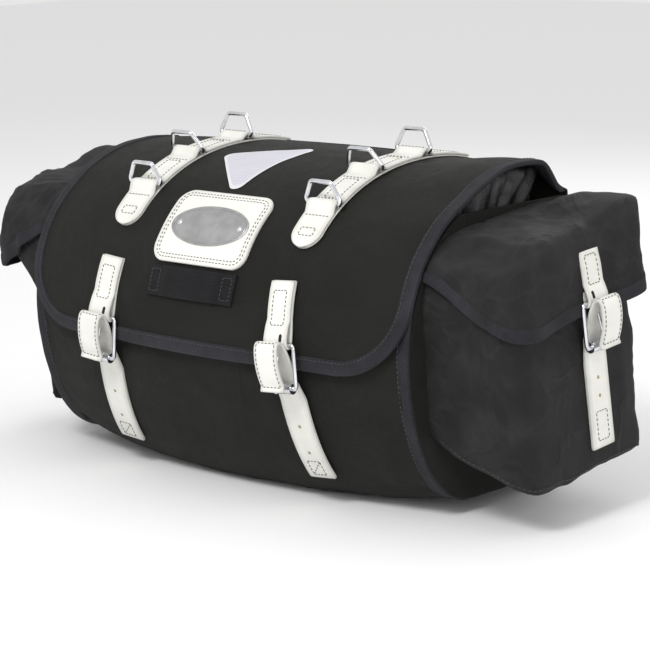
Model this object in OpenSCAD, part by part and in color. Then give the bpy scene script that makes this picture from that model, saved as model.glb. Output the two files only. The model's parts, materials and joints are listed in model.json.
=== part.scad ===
// Transverse cotton saddlebag with a buckled lid and a flap pocket on each end.
// X runs along the bag, -Y is the front with the straps, +Y is the bicycle side, +Z is up.
// The origin is on the ground plane, in the middle of the bag's bottom.

/* [Main bag] */
// Length of the main bag between its two end panels
bag_w = 350; // [330:1:380]
// How far the front bulges forward of the origin on the strap lines
front_y = 102; // [98:1:110]
// How far the back panel stands behind the origin
back_y = 80; // [76:1:88]
// Height of the lid's crown on the strap lines
crown_z = 221; // [218:1:228]
// Height of the lid's lower edge
lid_edge_z = 98; // [94:1:104]
// Radius of the lid's two lower corners
lid_corner_r = 50; // [30:1:60]
// Width of the binding tape
binding_w = 9; // [7:0.5:11]

/* [Straps] */
// Distance of each strap line from the middle of the bag
strap_x = 84; // [78:1:90]
// Width of the buckled straps
strap_w = 20; // [18:0.5:20]
// Width of the two straps on top of the lid
lid_strap_w = 25; // [22:0.5:26]
// Thickness of the leather
leather_t = 2; // [1.8:0.1:2.2]

/* [Buckles] */
// Diameter of the buckle and loop wire
wire_d = 3; // [2.8:0.1:3.1]
// Outside width of a buckle frame
buckle_w = 30; // [29:0.5:32]
// Distance from the heel bar to the roller bar
buckle_drop = 29; // [28:0.5:30]
// Outside diameter of the roller
roller_d = 7; // [6.6:0.1:7.2]

/* [Strap loops] */
// Width of a wire loop at its foot
loop_foot_w = 37; // [34:0.5:40]
// Width of a wire loop at its top
loop_top_w = 20.5; // [18:0.5:24]
// Height of a wire loop
loop_h = 17; // [15:0.5:20]

/* [Pockets] */
// How far a pocket stands out from the end panel
pocket_out = 78; // [68:1:82]
// How much a pocket's outer face leans in from its bottom to its top
pocket_lean = 9; // [0:1:12]
// Front side of a pocket
pocket_front = 67; // [62:1:74]
// Back side of a pocket
pocket_back = 58; // [52:1:66]
// Height of the pocket flap's top
flap_z = 190; // [186:1:192]

/* [Bicycle fittings] */
// Distance of each saddle strap from the middle
saddle_strap_x = 70; // [60:1:76]
// Diameter of the wooden dowel
dowel_d = 12; // [10:0.5:12]
// Diameter of the seatpost that the lower strap holds
post_d = 27.2; // [25.4:0.1:31.6]

/* [Hidden] */

$fn = 48;
eps = 0.1;
run_gap = 0.05;          // radial clearance of every turning part
canvas_t = 2.2;          // thickness of a bound canvas layer
lid_gap = 4.5;           // from the lid's outer face to the bag's own outer face
wire_r = wire_d / 2;
end_draw = 14;           // how far the front draws in towards the ends
mid_bulge = 4;           // how far the middle stands proud of the strap lines
end_drop = 4;            // how far the crown drops at the ends
base_lift = 10;          // how far the bottom lifts at the ends
crown_y = 34;            // where the crown turns level
front_z = 106;           // height at which the front is upright
mouth_z = 168;           // top of the bag's front, under the lid
panel_z = 198;           // top of the end panels
hinge_z = crown_z - 10;  // axis on which the lid turns
lid_w = bag_w + 4;
black = [0.12, 0.12, 0.11];
charcoal = [0.24, 0.24, 0.26];
white_leather = [0.93, 0.93, 0.9];
steel = [0.8, 0.81, 0.83];

// ---- Curves ----

function bezier(p, t) =
    p[0] * pow(1 - t, 3) + p[1] * 3 * t * pow(1 - t, 2) + p[2] * 3 * t * t * (1 - t) + p[3] * pow(t, 3);
function curve(p, steps, from = 0, to = 1) =
    [for (i = [0:steps]) bezier(p, from + (to - from) * i / steps)];

// Lower front of the bag from the bottom up to the upright part, as [y, z]
function lower_front(front, base) =
    [[60 - front, base], [30 - front, base], [3 - front, 48], [-front, front_z]];
// Front and top from the upright part back to the crown
function upper_front(front, top) =
    [[-front, front_z], [-front, front_z + 0.64 * (top - front_z)],
     [0.41 * (front + crown_y) - front, top], [crown_y, top]];
// Top from the crown back to the rear edge
function rear_top(top, end = back_y) =
    [[crown_y, top], [crown_y + 18, top], [end - 12, top - 2], [end, top - 6]];

// Side view of the whole bag for a given reach, crown, back and base
function outline(front, top, back, base) = concat(
    curve(lower_front(front, base), 8), curve(upper_front(front, top), 10, 0.1),
    curve(rear_top(top, min(back, back_y)), 3, 0.33),
    back > back_y ? [[back, top - 6 - 0.4 * (back - back_y)]] : [],
    [for (a = [0:30:90]) [back - 20 + 20 * cos(a), base + 20 - 20 * sin(a)]]);

function side_of(path, d) = [for (i = [0:len(path) - 1])
    let (a = path[max(i - 1, 0)], b = path[min(i + 1, len(path) - 1)], v = (b - a) / norm(b - a))
    path[i] + d * [-v[1], v[0]]];
function backwards(list) = [for (i = [len(list) - 1:-1:0]) list[i]];

// A strap of constant thickness whose middle line is a path in [y, z]
module strap(path, width, t = leather_t)
    rotate([90, 0, 90]) linear_extrude(width, center = true)
        polygon(concat(side_of(path, t / 2), backwards(side_of(path, -t / 2))));

module slice(x, front, top, back, base)
    translate([x, 0, 0]) rotate([90, 0, 90])
        linear_extrude(eps, center = true) polygon(outline(front, top, back, base));

// The bag's full form, drawn in by d from the lid's outer face; reach adds length at both ends
module bag_form(half, d, back, base, reach = 0) hull() {
    far = 1 + reach / (half - strap_x);
    slice(0, front_y + mid_bulge - d, crown_z + 1 - d, back, base);
    for (s = [-1, 1]) {
        slice(s * strap_x, front_y - d, crown_z - d, back, base);
        slice(s * (half + reach), front_y - end_draw * far - d, crown_z - end_drop * far - d, back,
            base + base_lift * far);
    }
}

// Front view of the lid, less a border
module lid_front_view(border) {
    half = lid_w / 2 - border;
    low = lid_edge_z + border;
    r = lid_corner_r - border;
    translate([0, back_y, 0]) rotate([90, 0, 0]) linear_extrude(back_y + front_y + 20)
        union() {
            translate([-half, low + r]) square([2 * half, crown_z]);
            translate([r - half, low]) square([2 * (half - r), crown_z]);
            for (s = [-1, 1]) translate([s * (half - r), low + r]) circle(r, $fn = 64);
        }
}

// ---- Main bag ----

module body_wrap() color(black) difference() {
    bag_form(bag_w / 2 - 2.5, lid_gap, back_y, 0);
    bag_form(bag_w / 2 - 2.5, lid_gap + canvas_t, back_y - canvas_t, canvas_t, 10);
    translate([-bag_w, -bag_w, mouth_z]) cube([2 * bag_w, bag_w + back_y - canvas_t - 1, 100]);
    translate([-bag_w, 0, hinge_z - 3]) cube([2 * bag_w, bag_w, 50]);
    for (s = [-1, 1]) translate([s * saddle_strap_x, 0, 0]) saddle_slots();
}

module end_panel(s) color(black) intersection() {
    translate([s * (bag_w / 2 - 1.2), 0, 0]) rotate([90, 0, 90])
        linear_extrude(canvas_t, center = true)
            polygon(outline(front_y - end_draw - lid_gap, crown_z - end_drop - lid_gap,
                back_y, base_lift));
    translate([-bag_w, -bag_w, 0]) cube([2 * bag_w, 2 * bag_w, panel_z]);
}

module seam_binding() color(charcoal) difference() {
    bag_form(bag_w / 2 + 0.5, lid_gap - 1.5, back_y, -1.5);
    bag_form(bag_w / 2 + 0.5, lid_gap - eps, back_y + 1, -eps, 10);
    translate([eps - bag_w / 2 + binding_w, -bag_w, -bag_w])
        cube([bag_w - 2 * binding_w, 2 * bag_w, 2 * bag_w]);
    translate([-bag_w, -bag_w, mouth_z]) cube([2 * bag_w, 2 * bag_w, 100]);
}

// Drawn-in nylon collar above the mouth
module collar_form(inset, low, high) hull() {
    translate([inset - 164, inset - 66, low]) cube([2 * (164 - inset), 120 - 2 * inset, eps]);
    translate([inset - 152, inset - 38, high]) cube([2 * (152 - inset), 90 - 2 * inset, eps]);
}
collar_z = 158;
collar_top = 196;
module storm_collar() color([0.05, 0.05, 0.05]) difference() {
    collar_form(0, collar_z, collar_top);
    collar_form(2, collar_z - eps, collar_top + eps);
}

cord_r = 2;
cord_z = collar_top + cord_r + 0.3;
cord_x = 146;
cord_front = -32;
cord_rear = 44;
cord_bend = 12;
tail_x = 2.3;
lock_y = -8;
module along_x(x0, x1, y, z, r) translate([x0, y, z]) rotate([0, 90, 0]) cylinder(h = x1 - x0, r = r);
module along_y(x, y0, y1, z, r) translate([x, y0, z]) rotate([-90, 0, 0]) cylinder(h = y1 - y0, r = r);
module bend(x, y, z, turn, big_r, r) translate([x, y, z]) rotate([0, 0, turn])
    rotate_extrude(angle = 90) translate([big_r, 0]) circle(r, $fn = 24);

module draw_cord() color(white_leather) {
    along_x(cord_bend - cord_x, cord_x - cord_bend, cord_rear, cord_z, cord_r);
    for (s = [-1, 1]) {
        along_y(s * cord_x, cord_front + cord_bend, cord_rear - cord_bend, cord_z, cord_r);
        bend(s * (cord_x - cord_bend), cord_rear - cord_bend, cord_z, s > 0 ? 0 : 90, cord_bend, cord_r);
        bend(s * (cord_x - cord_bend), cord_front + cord_bend, cord_z, s > 0 ? 270 : 180,
            cord_bend, cord_r);
        along_x(s > 0 ? tail_x + 5 : cord_bend - cord_x, s > 0 ? cord_x - cord_bend : -tail_x - 5,
            cord_front, cord_z, cord_r);
        bend(s * (tail_x + 5), cord_front + 5, cord_z, s > 0 ? 180 : 270, 5, cord_r);
        along_y(s * tail_x, cord_front + 5, lock_y + 20, cord_z, cord_r);
    }
    translate([0, lock_y + 23, cord_z]) sphere(5);
}

lock_r = 9;
plunger_r = 6.2;
module cord_lock_barrel() color([0.08, 0.08, 0.08]) translate([0, lock_y, cord_z]) difference() {
    translate([0, 0, -10]) cylinder(h = 17, r = lock_r);
    translate([0, 0, -8]) cylinder(h = 20, r = plunger_r + run_gap);
    translate([-5, -10, -2.2]) cube([10, 20, 4.4]);
}
module cord_lock_plunger() color([0.08, 0.08, 0.08]) translate([0, lock_y, cord_z]) difference() {
    translate([0, 0, -3.4]) cylinder(h = 17, r = plunger_r);
    translate([-4.8, -10, -2.2]) cube([9.6, 20, 9.2]);
}
module cord_lock_spring() color(steel) translate([0, lock_y, cord_z]) for (i = [0:2])
    translate([0, 0, -7.4 + 1.6 * i]) rotate_extrude() translate([4.5, 0]) circle(0.35, $fn = 16);

// ---- Bicycle side ----

dowel_y = 68;
dowel_z = 194;
strap_outer_y = back_y + leather_t + 1.9; // middle of a saddle strap's outer run
strap_low_z = 172;
strap_high_z = dowel_z + dowel_d / 2 + 1.6;
slot_h = leather_t + 1;

module dowel() color([0.72, 0.55, 0.35]) along_x(-150, 150, dowel_y, dowel_z, dowel_d / 2);

module saddle_slots() for (z = [strap_low_z, strap_high_z])
    translate([-strap_w / 2 - 0.6, back_y - 10, z - slot_h / 2]) cube([strap_w + 1.2, 20, slot_h]);

post_z = 62;
post_bore = post_d / 2 + run_gap;
post_y = back_y + leather_t + 0.4 + leather_t + post_bore;

module slot_patches() color(white_leather) {
    for (s = [-1, 1]) translate([s * saddle_strap_x, 0, 0]) difference() {
        translate([-20, back_y + 0.1, strap_low_z - 12]) cube([40, leather_t, 46]);
        saddle_slots();
    }
    translate([-26, back_y + 0.1, post_z - 17]) cube([52, leather_t, 34]);
}

// Closed strap from the dowel out through the back panel, with a fold that holds the buckle
heel_z = strap_high_z - 9;
module saddle_strap(s) color(white_leather) translate([s * saddle_strap_x, 0, 0]) {
    inner_y = dowel_y - dowel_d / 2 - 1.4;
    difference() {
        union() {
            for (z = [strap_low_z, strap_high_z]) translate([-strap_w / 2, inner_y, z - leather_t / 2])
                cube([strap_w, strap_outer_y - inner_y, leather_t]);
            for (y = [inner_y, strap_outer_y])
                translate([-strap_w / 2, y - leather_t / 2, strap_low_z - leather_t / 2])
                    cube([strap_w, leather_t, strap_high_z - strap_low_z + leather_t]);
            along_x(-strap_w / 2, strap_w / 2, strap_outer_y + 2.9, heel_z, wire_r + 1.9);
        }
        heel_hole(strap_outer_y + 2.9, heel_z);
    }
}
// Hole for a heel bar, with a gap for the tongue
module heel_hole(y, z) {
    along_x(-strap_w, strap_w, y, z, wire_r + run_gap);
    translate([-2.6, y - 3, z - 4.6]) cube([5.2, 10, 9.2]);
}

module seatpost_strap() color(white_leather) translate([0, 0, post_z]) difference() {
    union() {
        translate([0, post_y, -strap_w / 2]) cylinder(h = strap_w, r = post_ring);
        translate([-20, back_y + leather_t + 0.3, -strap_w / 2]) cube([40, leather_t, strap_w]);
        translate([post_heel_x, post_heel_y, -strap_w / 2]) cylinder(h = strap_w, r = wire_r + 1.9);
    }
    translate([0, post_y, -strap_w]) cylinder(h = 2 * strap_w, r = post_bore);
    translate([post_heel_x, post_heel_y, -strap_w]) cylinder(h = 2 * strap_w, r = wire_r + run_gap);
    translate([post_heel_x - 4.6, post_heel_y - 3.3, -2.6]) cube([9.2, 10, 5.2]);
}
post_ring = post_bore + leather_t;
post_heel_x = -4;
post_heel_y = post_y + post_ring + wire_r + 0.3;

// ---- Buckles, in their own frame: heel bar on X at the origin, roller bar below, -Y outwards ----

side_x = buckle_w / 2 - wire_r;
module ball(x, z) translate([x, 0, z]) sphere(wire_r + 0.02, $fn = 24);
module buckle_frame(drop) color(steel) {
    for (z = [0, -drop]) along_x(-side_x, side_x, 0, z, wire_r);
    for (s = [-1, 1]) {
        translate([s * side_x, 0, -drop]) cylinder(h = drop, r = wire_r);
        for (z = [0, -drop]) ball(s * side_x, z);
    }
}
module roller() color(steel) translate([0, 0, -buckle_drop]) difference() {
    along_x(-10.5, 10.5, 0, 0, roller_d / 2);
    along_x(-11, 11, 0, 0, wire_r + run_gap);
}
tongue_r = 1.3;
// The tongue leans out so that it rests on a bar of radius rest_r
module tongue(drop, rest_r) color(steel) {
    lean = asin((rest_r + tongue_r + 0.1) / drop);
    difference() {
        union() {
            along_x(-2.2, 2.2, 0, 0, wire_r + 1.3);
            rotate([-lean, 0, 0]) translate([0, 0, -drop - 2]) cylinder(h = drop, r = tongue_r);
            rotate([-lean, 0, 0]) translate([0, 0, -drop - 2]) sphere(tongue_r, $fn = 24);
        }
        along_x(-3, 3, 0, 0, wire_r + run_gap);
    }
}
// Folded leather that carries the heel bar; path is its sewn part in [y, z] from the bar
module chape(path) color(white_leather) difference() {
    union() {
        strap(path, strap_w);
        along_x(-strap_w / 2, strap_w / 2, 0, 0, wire_r + 1.9);
    }
    heel_hole_local();
}
module heel_hole_local() {
    along_x(-strap_w, strap_w, 0, 0, wire_r + run_gap);
    translate([-2.6, -6, -4.6]) cube([5.2, 9, 9.2]);
}

bar_out = 4; // distance of the heel bar from the face that the buckle lies on
// Strap end that rises behind the roller, passes through the frame and folds back down
function fold_path() = [for (p = concat(
    curve([[-0.65, -28], [-0.65, -20], [4.5, -12], [9, -6]], 5),
    curve([[9, -6], [11, -3], [15.5, -2], [16, -8]], 4, 0.25),
    curve([[16, -8], [16.5, -16], [13.5, -24], [12, -33]], 4, 0.25))) [bar_out - p[0], p[1]]];
module billet(run) color(white_leather) difference() {
    strap(concat(run, fold_path()), strap_w);
    translate([-2.4, -bar_out - 4, -22]) cube([4.8, 9, 20]);
}

heel_front_z = 114;
splay = 4.5; // how far the front closures lean outwards towards the bottom, in degrees
module at_front(s) translate([s * strap_x, -front_y - bar_out, heel_front_z])
    rotate([0, -s * splay, 0]) children();
// Strap line of the bag in the buckle's own frame
function in_front(path) = [for (p = path) [p[0] + front_y + bar_out, p[1] - heel_front_z]];

chape_out = 2.2;
module front_chapes() for (s = [-1, 1]) at_front(s)
    chape(concat([[bar_out - chape_out, 0]],
        in_front(curve(upper_front(front_y + chape_out, crown_z + chape_out), 5, 0.05, 0.26))));
module front_billet(s) at_front(s)
    billet(in_front(curve(lower_front(front_y - lid_gap + 1.5, -1.5), 6, 0.4, 0.82)));
module front_buckle(s) at_front(s) buckle_frame(buckle_drop);
module front_roller(s) at_front(s) roller();
module front_tongue(s) at_front(s) tongue(buckle_drop, roller_d / 2);

module at_back(s) translate([s * saddle_strap_x, strap_outer_y + 2.9, heel_z])
    rotate([0, 0, 180]) children();
back_drop = 20;
module saddle_buckle(s) at_back(s) buckle_frame(back_drop);
module saddle_tongue(s) at_back(s) tongue(back_drop, wire_r);
module at_post() translate([post_heel_x, post_heel_y, post_z])
    rotate([0, 0, 180]) rotate([0, 90, 0]) children();
module seatpost_buckle() at_post() buckle_frame(back_drop);
module seatpost_tongue() at_post() tongue(back_drop, wire_r);

// ---- Lid ----

module lid_panel() color(black) intersection() {
    difference() {
        bag_form(lid_w / 2, 0, back_y, 0);
        bag_form(lid_w / 2, canvas_t, back_y + 15, 0, 10);
    }
    lid_front_view(0);
}
module lid_binding() color(charcoal) difference() {
    bag_form(lid_w / 2, -0.9, back_y, 0);
    bag_form(lid_w / 2, -eps, back_y + 15, 0, 10);
    lid_front_view(binding_w);
    outside_lid();
}
module outside_lid() difference() {
    translate([-bag_w, -bag_w, -20]) cube([2 * bag_w, 2 * bag_w, 300]);
    lid_front_view(0);
}

// Middle lines of pieces sewn on the lid: out is the height above its face at strap line or middle
function on_lid(out, from, to, steps, bulge = 0) =
    curve(upper_front(front_y + bulge + out, crown_z + bulge / 4 + out), steps, from, to);

// Foot of each wire loop along the strap: share of the front curve, and its lean from upright
loops = [[0.55, 10], [0.78, 26], [0.99, -6]];
loop_out = 4.1;
function loop_at(i) = bezier(upper_front(front_y + loop_out, crown_z + loop_out), loops[i][0]);

module lid_strap(s) color(white_leather) translate([s * strap_x, 0, 0]) difference() {
    union() {
        intersection() {
            strap(concat(on_lid(1.8, 0.37, 1, 10), curve(rear_top(crown_z + 1.8), 3, 0.33, 0.9)),
                lid_strap_w);
            strap_tip();
        }
        for (i = [0:2]) along_x(-lid_strap_w / 2, lid_strap_w / 2, loop_at(i)[0], loop_at(i)[1],
            wire_r + 1.9);
    }
    for (i = [0:2]) along_x(-lid_strap_w, lid_strap_w, loop_at(i)[0], loop_at(i)[1],
        wire_r + run_gap);
}
// Rounded front end of a lid strap, seen along the slope of the lid
module strap_tip() translate([0, -81, 173]) rotate([45, 0, 0]) translate([0, 0, -150]) union() {
    translate([0, lid_strap_w / 2, 0]) cylinder(h = 300, r = lid_strap_w / 2);
    translate([-lid_strap_w / 2, lid_strap_w / 2, 0]) cube([lid_strap_w, 300, 300]);
}

// A wire trapezoid that turns on its foot bar
module wire_loop(s, i) color(steel) translate([s * strap_x, loop_at(i)[0], loop_at(i)[1]])
    rotate([loops[i][1], 0, 0]) {
        half_foot = loop_foot_w / 2 - wire_r;
        half_top = loop_top_w / 2 - wire_r;
        rise = loop_h - wire_r;
        leg = norm([half_foot - half_top, rise]);
        along_x(-half_foot, half_foot, 0, 0, wire_r);
        along_x(-half_top, half_top, 0, rise, wire_r);
        for (k = [-1, 1]) {
            ball(k * half_foot, 0);
            ball(k * half_top, rise);
            translate([k * half_foot, 0, 0]) rotate([0, -k * atan2(half_foot - half_top, rise), 0])
                cylinder(h = leg, r = wire_r);
        }
    }

patch_w = 86;
patch_h = 56;
badge_lean = 45;
module at_badge() translate([0, -80, 180]) rotate([90 - badge_lean, 0, 0]) translate([0, 0, -30])
    children();
module badge_patch() color(white_leather) intersection() {
    strap(on_lid(1.5, 0.15, 0.65, 10, mid_bulge), patch_w);
    at_badge() linear_extrude(60) union() {
        square([patch_w - 22, patch_h], center = true);
        square([patch_w, patch_h - 22], center = true);
        for (sx = [-1, 1], sy = [-1, 1])
            translate([sx * (patch_w / 2 - 11), sy * (patch_h / 2 - 11)]) circle(11);
    }
}
module badge_plate() color(steel) intersection() {
    strap(on_lid(3.2, 0.15, 0.65, 10, mid_bulge), patch_w, 1);
    at_badge() linear_extrude(60) polygon([for (a = [0:6:354]) [32 * cos(a), 15 * sin(a)]]);
}
rivet_x = 26;
badge_middle = bezier(upper_front(front_y + mid_bulge + 4.4, crown_z + mid_bulge / 4 + 4.4), 0.42);
module badge_rivets() color(steel) for (s = [-1, 1])
    translate([s * rivet_x, badge_middle[0], badge_middle[1]]) rotate([badge_lean, 0, 0])
        cylinder(h = 1.4, r = 2.2, $fn = 24);

module light_loop() color([0.08, 0.08, 0.09])
    strap(on_lid(1.8, 0.13, 0.235, 4, mid_bulge), 80);
module reflective_patch() color([0.75, 0.74, 0.8]) intersection() {
    strap(on_lid(0.7, 0.5, 0.99, 8, mid_bulge), 120, 0.8);
    translate([0, 0, 168]) linear_extrude(100) hull() {
        translate([-45, -11]) circle(6);
        translate([0, 14]) circle(6);
        translate([-6, -45]) circle(6);
    }
}

// ---- Pockets, drawn for the right end and mirrored for the left ----

// A pocket hangs tilted, with its front side lower than its back side
pocket_tilt = 5;
tilt_z = 106;
module on_end(s) mirror([s < 0 ? 1 : 0, 0, 0]) translate([bag_w / 2, 0, tilt_z])
    rotate([pocket_tilt, 0, 0]) translate([0, 0, -tilt_z]) children();

// Outer form of a pocket, from a height up, grown by g; its outer corners are rounded
module pocket_form(g, low_in, low_out, top) intersection() {
    translate([0, 0, -10]) linear_extrude(top + 10) union() {
        translate([-20, -pocket_front - g])
            square([pocket_out - pocket_r + 20, pocket_front + pocket_back + 2 * g]);
        translate([0, pocket_r - pocket_front])
            square([pocket_out + g, pocket_front + pocket_back - 2 * pocket_r]);
        for (y = [pocket_r - pocket_front, pocket_back - pocket_r])
            translate([pocket_out - pocket_r, y]) circle(pocket_r + g);
    }
    translate([0, 200, 0]) rotate([90, 0, 0]) linear_extrude(400)
        polygon([[-20, low_in], [0, low_in], [face_x(low_out) + g, low_out], [face_x(top) + g, top],
            [-20, top]]);
    rotate([90, 0, 90]) translate([0, 0, -20]) linear_extrude(pocket_out + 40)
        polygon(concat([[pocket_back + g, top], [pocket_back + g, -10], [-pocket_front - g, -10]],
            [for (p = curve([[0, -46], [0, -18], [22, 0], [60, 0]], 6)) p + [-pocket_front - g, top]]));
}
pocket_low = 32;
pocket_r = 18; // radius of a pocket's upright corners
function face_x(z) = pocket_out - pocket_lean * (z - pocket_low) / (flap_z - pocket_low);
module pocket_shell(s) color(charcoal) on_end(s) difference() {
    pocket_form(0, pocket_low + 30, pocket_low, flap_z - 5);
    pocket_form(-canvas_t, pocket_low + 30 + canvas_t, pocket_low + canvas_t, flap_z);
    translate([-50, -200, -50]) cube([50.2, 400, 300]);
}
flap_gap = 0.6;
flap_start = 2.6;      // where the flap's stiff part begins, out from the end panel
flap_low_in = 170;
flap_low_out = 136;
module pocket_flap(s) color(charcoal) on_end(s) difference() {
    pocket_form(flap_out, flap_low_in, flap_low_out, flap_z);
    pocket_form(flap_gap, 0, 0, flap_z - canvas_t);
    translate([-50, -200, -50]) cube([50 + flap_start, 400, 300]);
}

heel_pocket_z = 144;
pocket_strap_y = 12;
flap_out = flap_gap + canvas_t;
face_angle = atan(pocket_lean / (flap_z - pocket_low));
module at_pocket(s) on_end(s)
    translate([face_x(heel_pocket_z) + flap_out + bar_out, pocket_strap_y, heel_pocket_z])
    rotate([0, -face_angle, 0]) rotate([0, 0, 90]) children();
module pocket_chape(s) at_pocket(s)
    chape([[bar_out - 1.3, 2], [bar_out - 1.3, 34]]);
module pocket_billet(s) at_pocket(s)
    billet([[bar_out + flap_out - 1.3, -87], [bar_out + flap_out - 1.3, -42]]);
module pocket_buckle(s) at_pocket(s) buckle_frame(buckle_drop);
module pocket_roller(s) at_pocket(s) roller();
module pocket_tongue(s) at_pocket(s) tongue(buckle_drop, roller_d / 2);

// ---- Nodes ----

body_wrap();
end_panel(-1);  // end_panel_left
end_panel(1);  // end_panel_right
seam_binding();
storm_collar();
draw_cord();
cord_lock_barrel();
cord_lock_plunger();
cord_lock_spring();
dowel();
slot_patches();
saddle_strap(-1);  // saddle_strap_left
saddle_strap(1);  // saddle_strap_right
seatpost_strap();
front_billet(-1);  // front_billet_left
front_billet(1);  // front_billet_right
pocket_shell(-1);  // pocket_shell_left
pocket_shell(1);  // pocket_shell_right
pocket_billet(-1);  // pocket_billet_left
pocket_billet(1);  // pocket_billet_right
lid_panel();
lid_binding();
lid_strap(-1);  // lid_strap_left
lid_strap(1);  // lid_strap_right
badge_patch();
badge_plate();
badge_rivets();
light_loop();
reflective_patch();
front_chapes();
wire_loop(-1, 0);  // loop_left_front
wire_loop(-1, 1);  // loop_left_middle
wire_loop(-1, 2);  // loop_left_rear
wire_loop(1, 0);  // loop_right_front
wire_loop(1, 1);  // loop_right_middle
wire_loop(1, 2);  // loop_right_rear
pocket_flap(-1);  // pocket_flap_left
pocket_flap(1);  // pocket_flap_right
pocket_chape(-1);  // pocket_chape_left
pocket_chape(1);  // pocket_chape_right
front_buckle(-1);  // front_buckle_left
front_buckle(1);  // front_buckle_right
pocket_buckle(-1);  // pocket_buckle_left
pocket_buckle(1);  // pocket_buckle_right
front_roller(-1);  // front_roller_left
front_roller(1);  // front_roller_right
pocket_roller(-1);  // pocket_roller_left
pocket_roller(1);  // pocket_roller_right
front_tongue(-1);  // front_tongue_left
front_tongue(1);  // front_tongue_right
pocket_tongue(-1);  // pocket_tongue_left
pocket_tongue(1);  // pocket_tongue_right
saddle_buckle(-1);  // saddle_buckle_left
saddle_buckle(1);  // saddle_buckle_right
saddle_tongue(-1);  // saddle_tongue_left
saddle_tongue(1);  // saddle_tongue_right
seatpost_buckle();
seatpost_tongue();
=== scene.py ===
import bisect
import json
import math

import bmesh
import bpy
from mathutils import Matrix, Vector, noise


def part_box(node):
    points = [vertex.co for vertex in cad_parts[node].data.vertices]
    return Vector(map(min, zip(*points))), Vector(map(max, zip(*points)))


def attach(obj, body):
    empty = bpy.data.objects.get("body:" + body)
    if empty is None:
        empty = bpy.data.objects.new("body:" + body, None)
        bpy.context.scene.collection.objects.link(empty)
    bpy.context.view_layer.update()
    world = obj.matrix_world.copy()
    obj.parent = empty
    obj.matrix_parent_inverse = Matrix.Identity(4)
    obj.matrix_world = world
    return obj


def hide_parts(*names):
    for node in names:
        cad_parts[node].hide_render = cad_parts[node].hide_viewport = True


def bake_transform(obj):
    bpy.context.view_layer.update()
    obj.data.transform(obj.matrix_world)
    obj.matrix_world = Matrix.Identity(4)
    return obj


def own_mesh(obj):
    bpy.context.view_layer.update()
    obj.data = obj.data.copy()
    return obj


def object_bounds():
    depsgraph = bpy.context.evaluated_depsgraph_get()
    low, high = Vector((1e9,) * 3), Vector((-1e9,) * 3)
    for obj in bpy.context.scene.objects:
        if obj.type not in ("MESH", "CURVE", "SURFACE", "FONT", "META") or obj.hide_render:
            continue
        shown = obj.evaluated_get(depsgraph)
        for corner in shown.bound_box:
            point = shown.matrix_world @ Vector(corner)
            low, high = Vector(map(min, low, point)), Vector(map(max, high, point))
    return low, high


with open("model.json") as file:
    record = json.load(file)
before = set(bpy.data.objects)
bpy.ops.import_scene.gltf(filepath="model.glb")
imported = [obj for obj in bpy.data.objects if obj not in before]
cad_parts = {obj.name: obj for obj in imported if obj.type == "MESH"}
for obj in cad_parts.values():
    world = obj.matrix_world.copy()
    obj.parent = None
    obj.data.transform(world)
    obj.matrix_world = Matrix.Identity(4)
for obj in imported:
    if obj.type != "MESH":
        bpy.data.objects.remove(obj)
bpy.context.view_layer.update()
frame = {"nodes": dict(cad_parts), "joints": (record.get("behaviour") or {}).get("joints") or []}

JOINTS = {j["name"]: j for j in frame["joints"]}
MM = 0.001
SIDES = ((-1, "left"), (1, "right"))
AXIS_X, AXIS_Y, AXIS_Z = Vector((1, 0, 0)), Vector((0, 1, 0)), Vector((0, 0, 1))


def joint(name):
    """Place and axis of a joint of the frame, the place in millimetres."""
    j = JOINTS[name]
    return Vector(j["pos_m"]) / MM, Vector(j["axis"]).normalized()


def clamp(v, lo=0.0, hi=1.0):
    return max(lo, min(hi, v))


def smooth(v, lo=0.0, hi=1.0):
    v = clamp((v - lo) / (hi - lo))
    return v * v * (3 - 2 * v)


def lerp(a, b, t):
    return a + (b - a) * t


def bump(v, centre, width):
    """1 at centre, 0 from width away."""
    return 1 - smooth(abs(v - centre), 0, width)


def bez(p, t):
    u = 1 - t
    w = (u * u * u, 3 * t * u * u, 3 * t * t * u, t * t * t)
    return sum(a * q[0] for a, q in zip(w, p)), sum(a * q[1] for a, q in zip(w, p))


def around(count, start=0.0):
    """(cosine, sine) at even steps round a circle, from start in steps."""
    turns = [2 * math.pi * (i + start) / count for i in range(count)]
    return [(math.cos(a), math.sin(a)) for a in turns]


def arc(centre, r, first, last, steps):
    """Points on an arc between two angles in degrees."""
    angles = [math.radians(lerp(first, last, k / steps)) for k in range(steps + 1)]
    return [(centre[0] + r * math.cos(a), centre[1] + r * math.sin(a)) for a in angles]


def fuzz(x, y, z, size, seed=0.0):
    """Smooth noise between -1 and 1; size is the distance between its waves, in mm."""
    return noise.noise(Vector((x / size + seed, y / size - seed, z / size + 2.7 * seed)))


def ridge(x, y, z, size, seed=0.0):
    """Noise with sharp crests, for creases in cloth."""
    return 1 - 2 * abs(fuzz(x, y, z, size, seed))


# ---------------------------------------------------------------- mesh building


class Surface:
    """A surface given by fn(a, b) in mm; at() moves off it along its normal."""

    def __init__(self, fn, flip=False, step=0.5):
        self.fn, self.sign, self.step = fn, -1 if flip else 1, step

    def normal(self, a, b):
        e = self.step
        da = self.fn(a + e, b) - self.fn(a - e, b)
        db = self.fn(a, b + e) - self.fn(a, b - e)
        return da.cross(db).normalized() * self.sign

    def at(self, a, b, h=0.0):
        p = self.fn(a, b)
        return p + self.normal(a, b) * h if h else p

    def spot(self, a, b, h=0.0):
        """The place and the normal there, as Piece.seam wants them."""
        return self.at(a, b, h), self.normal(a, b)


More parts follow.
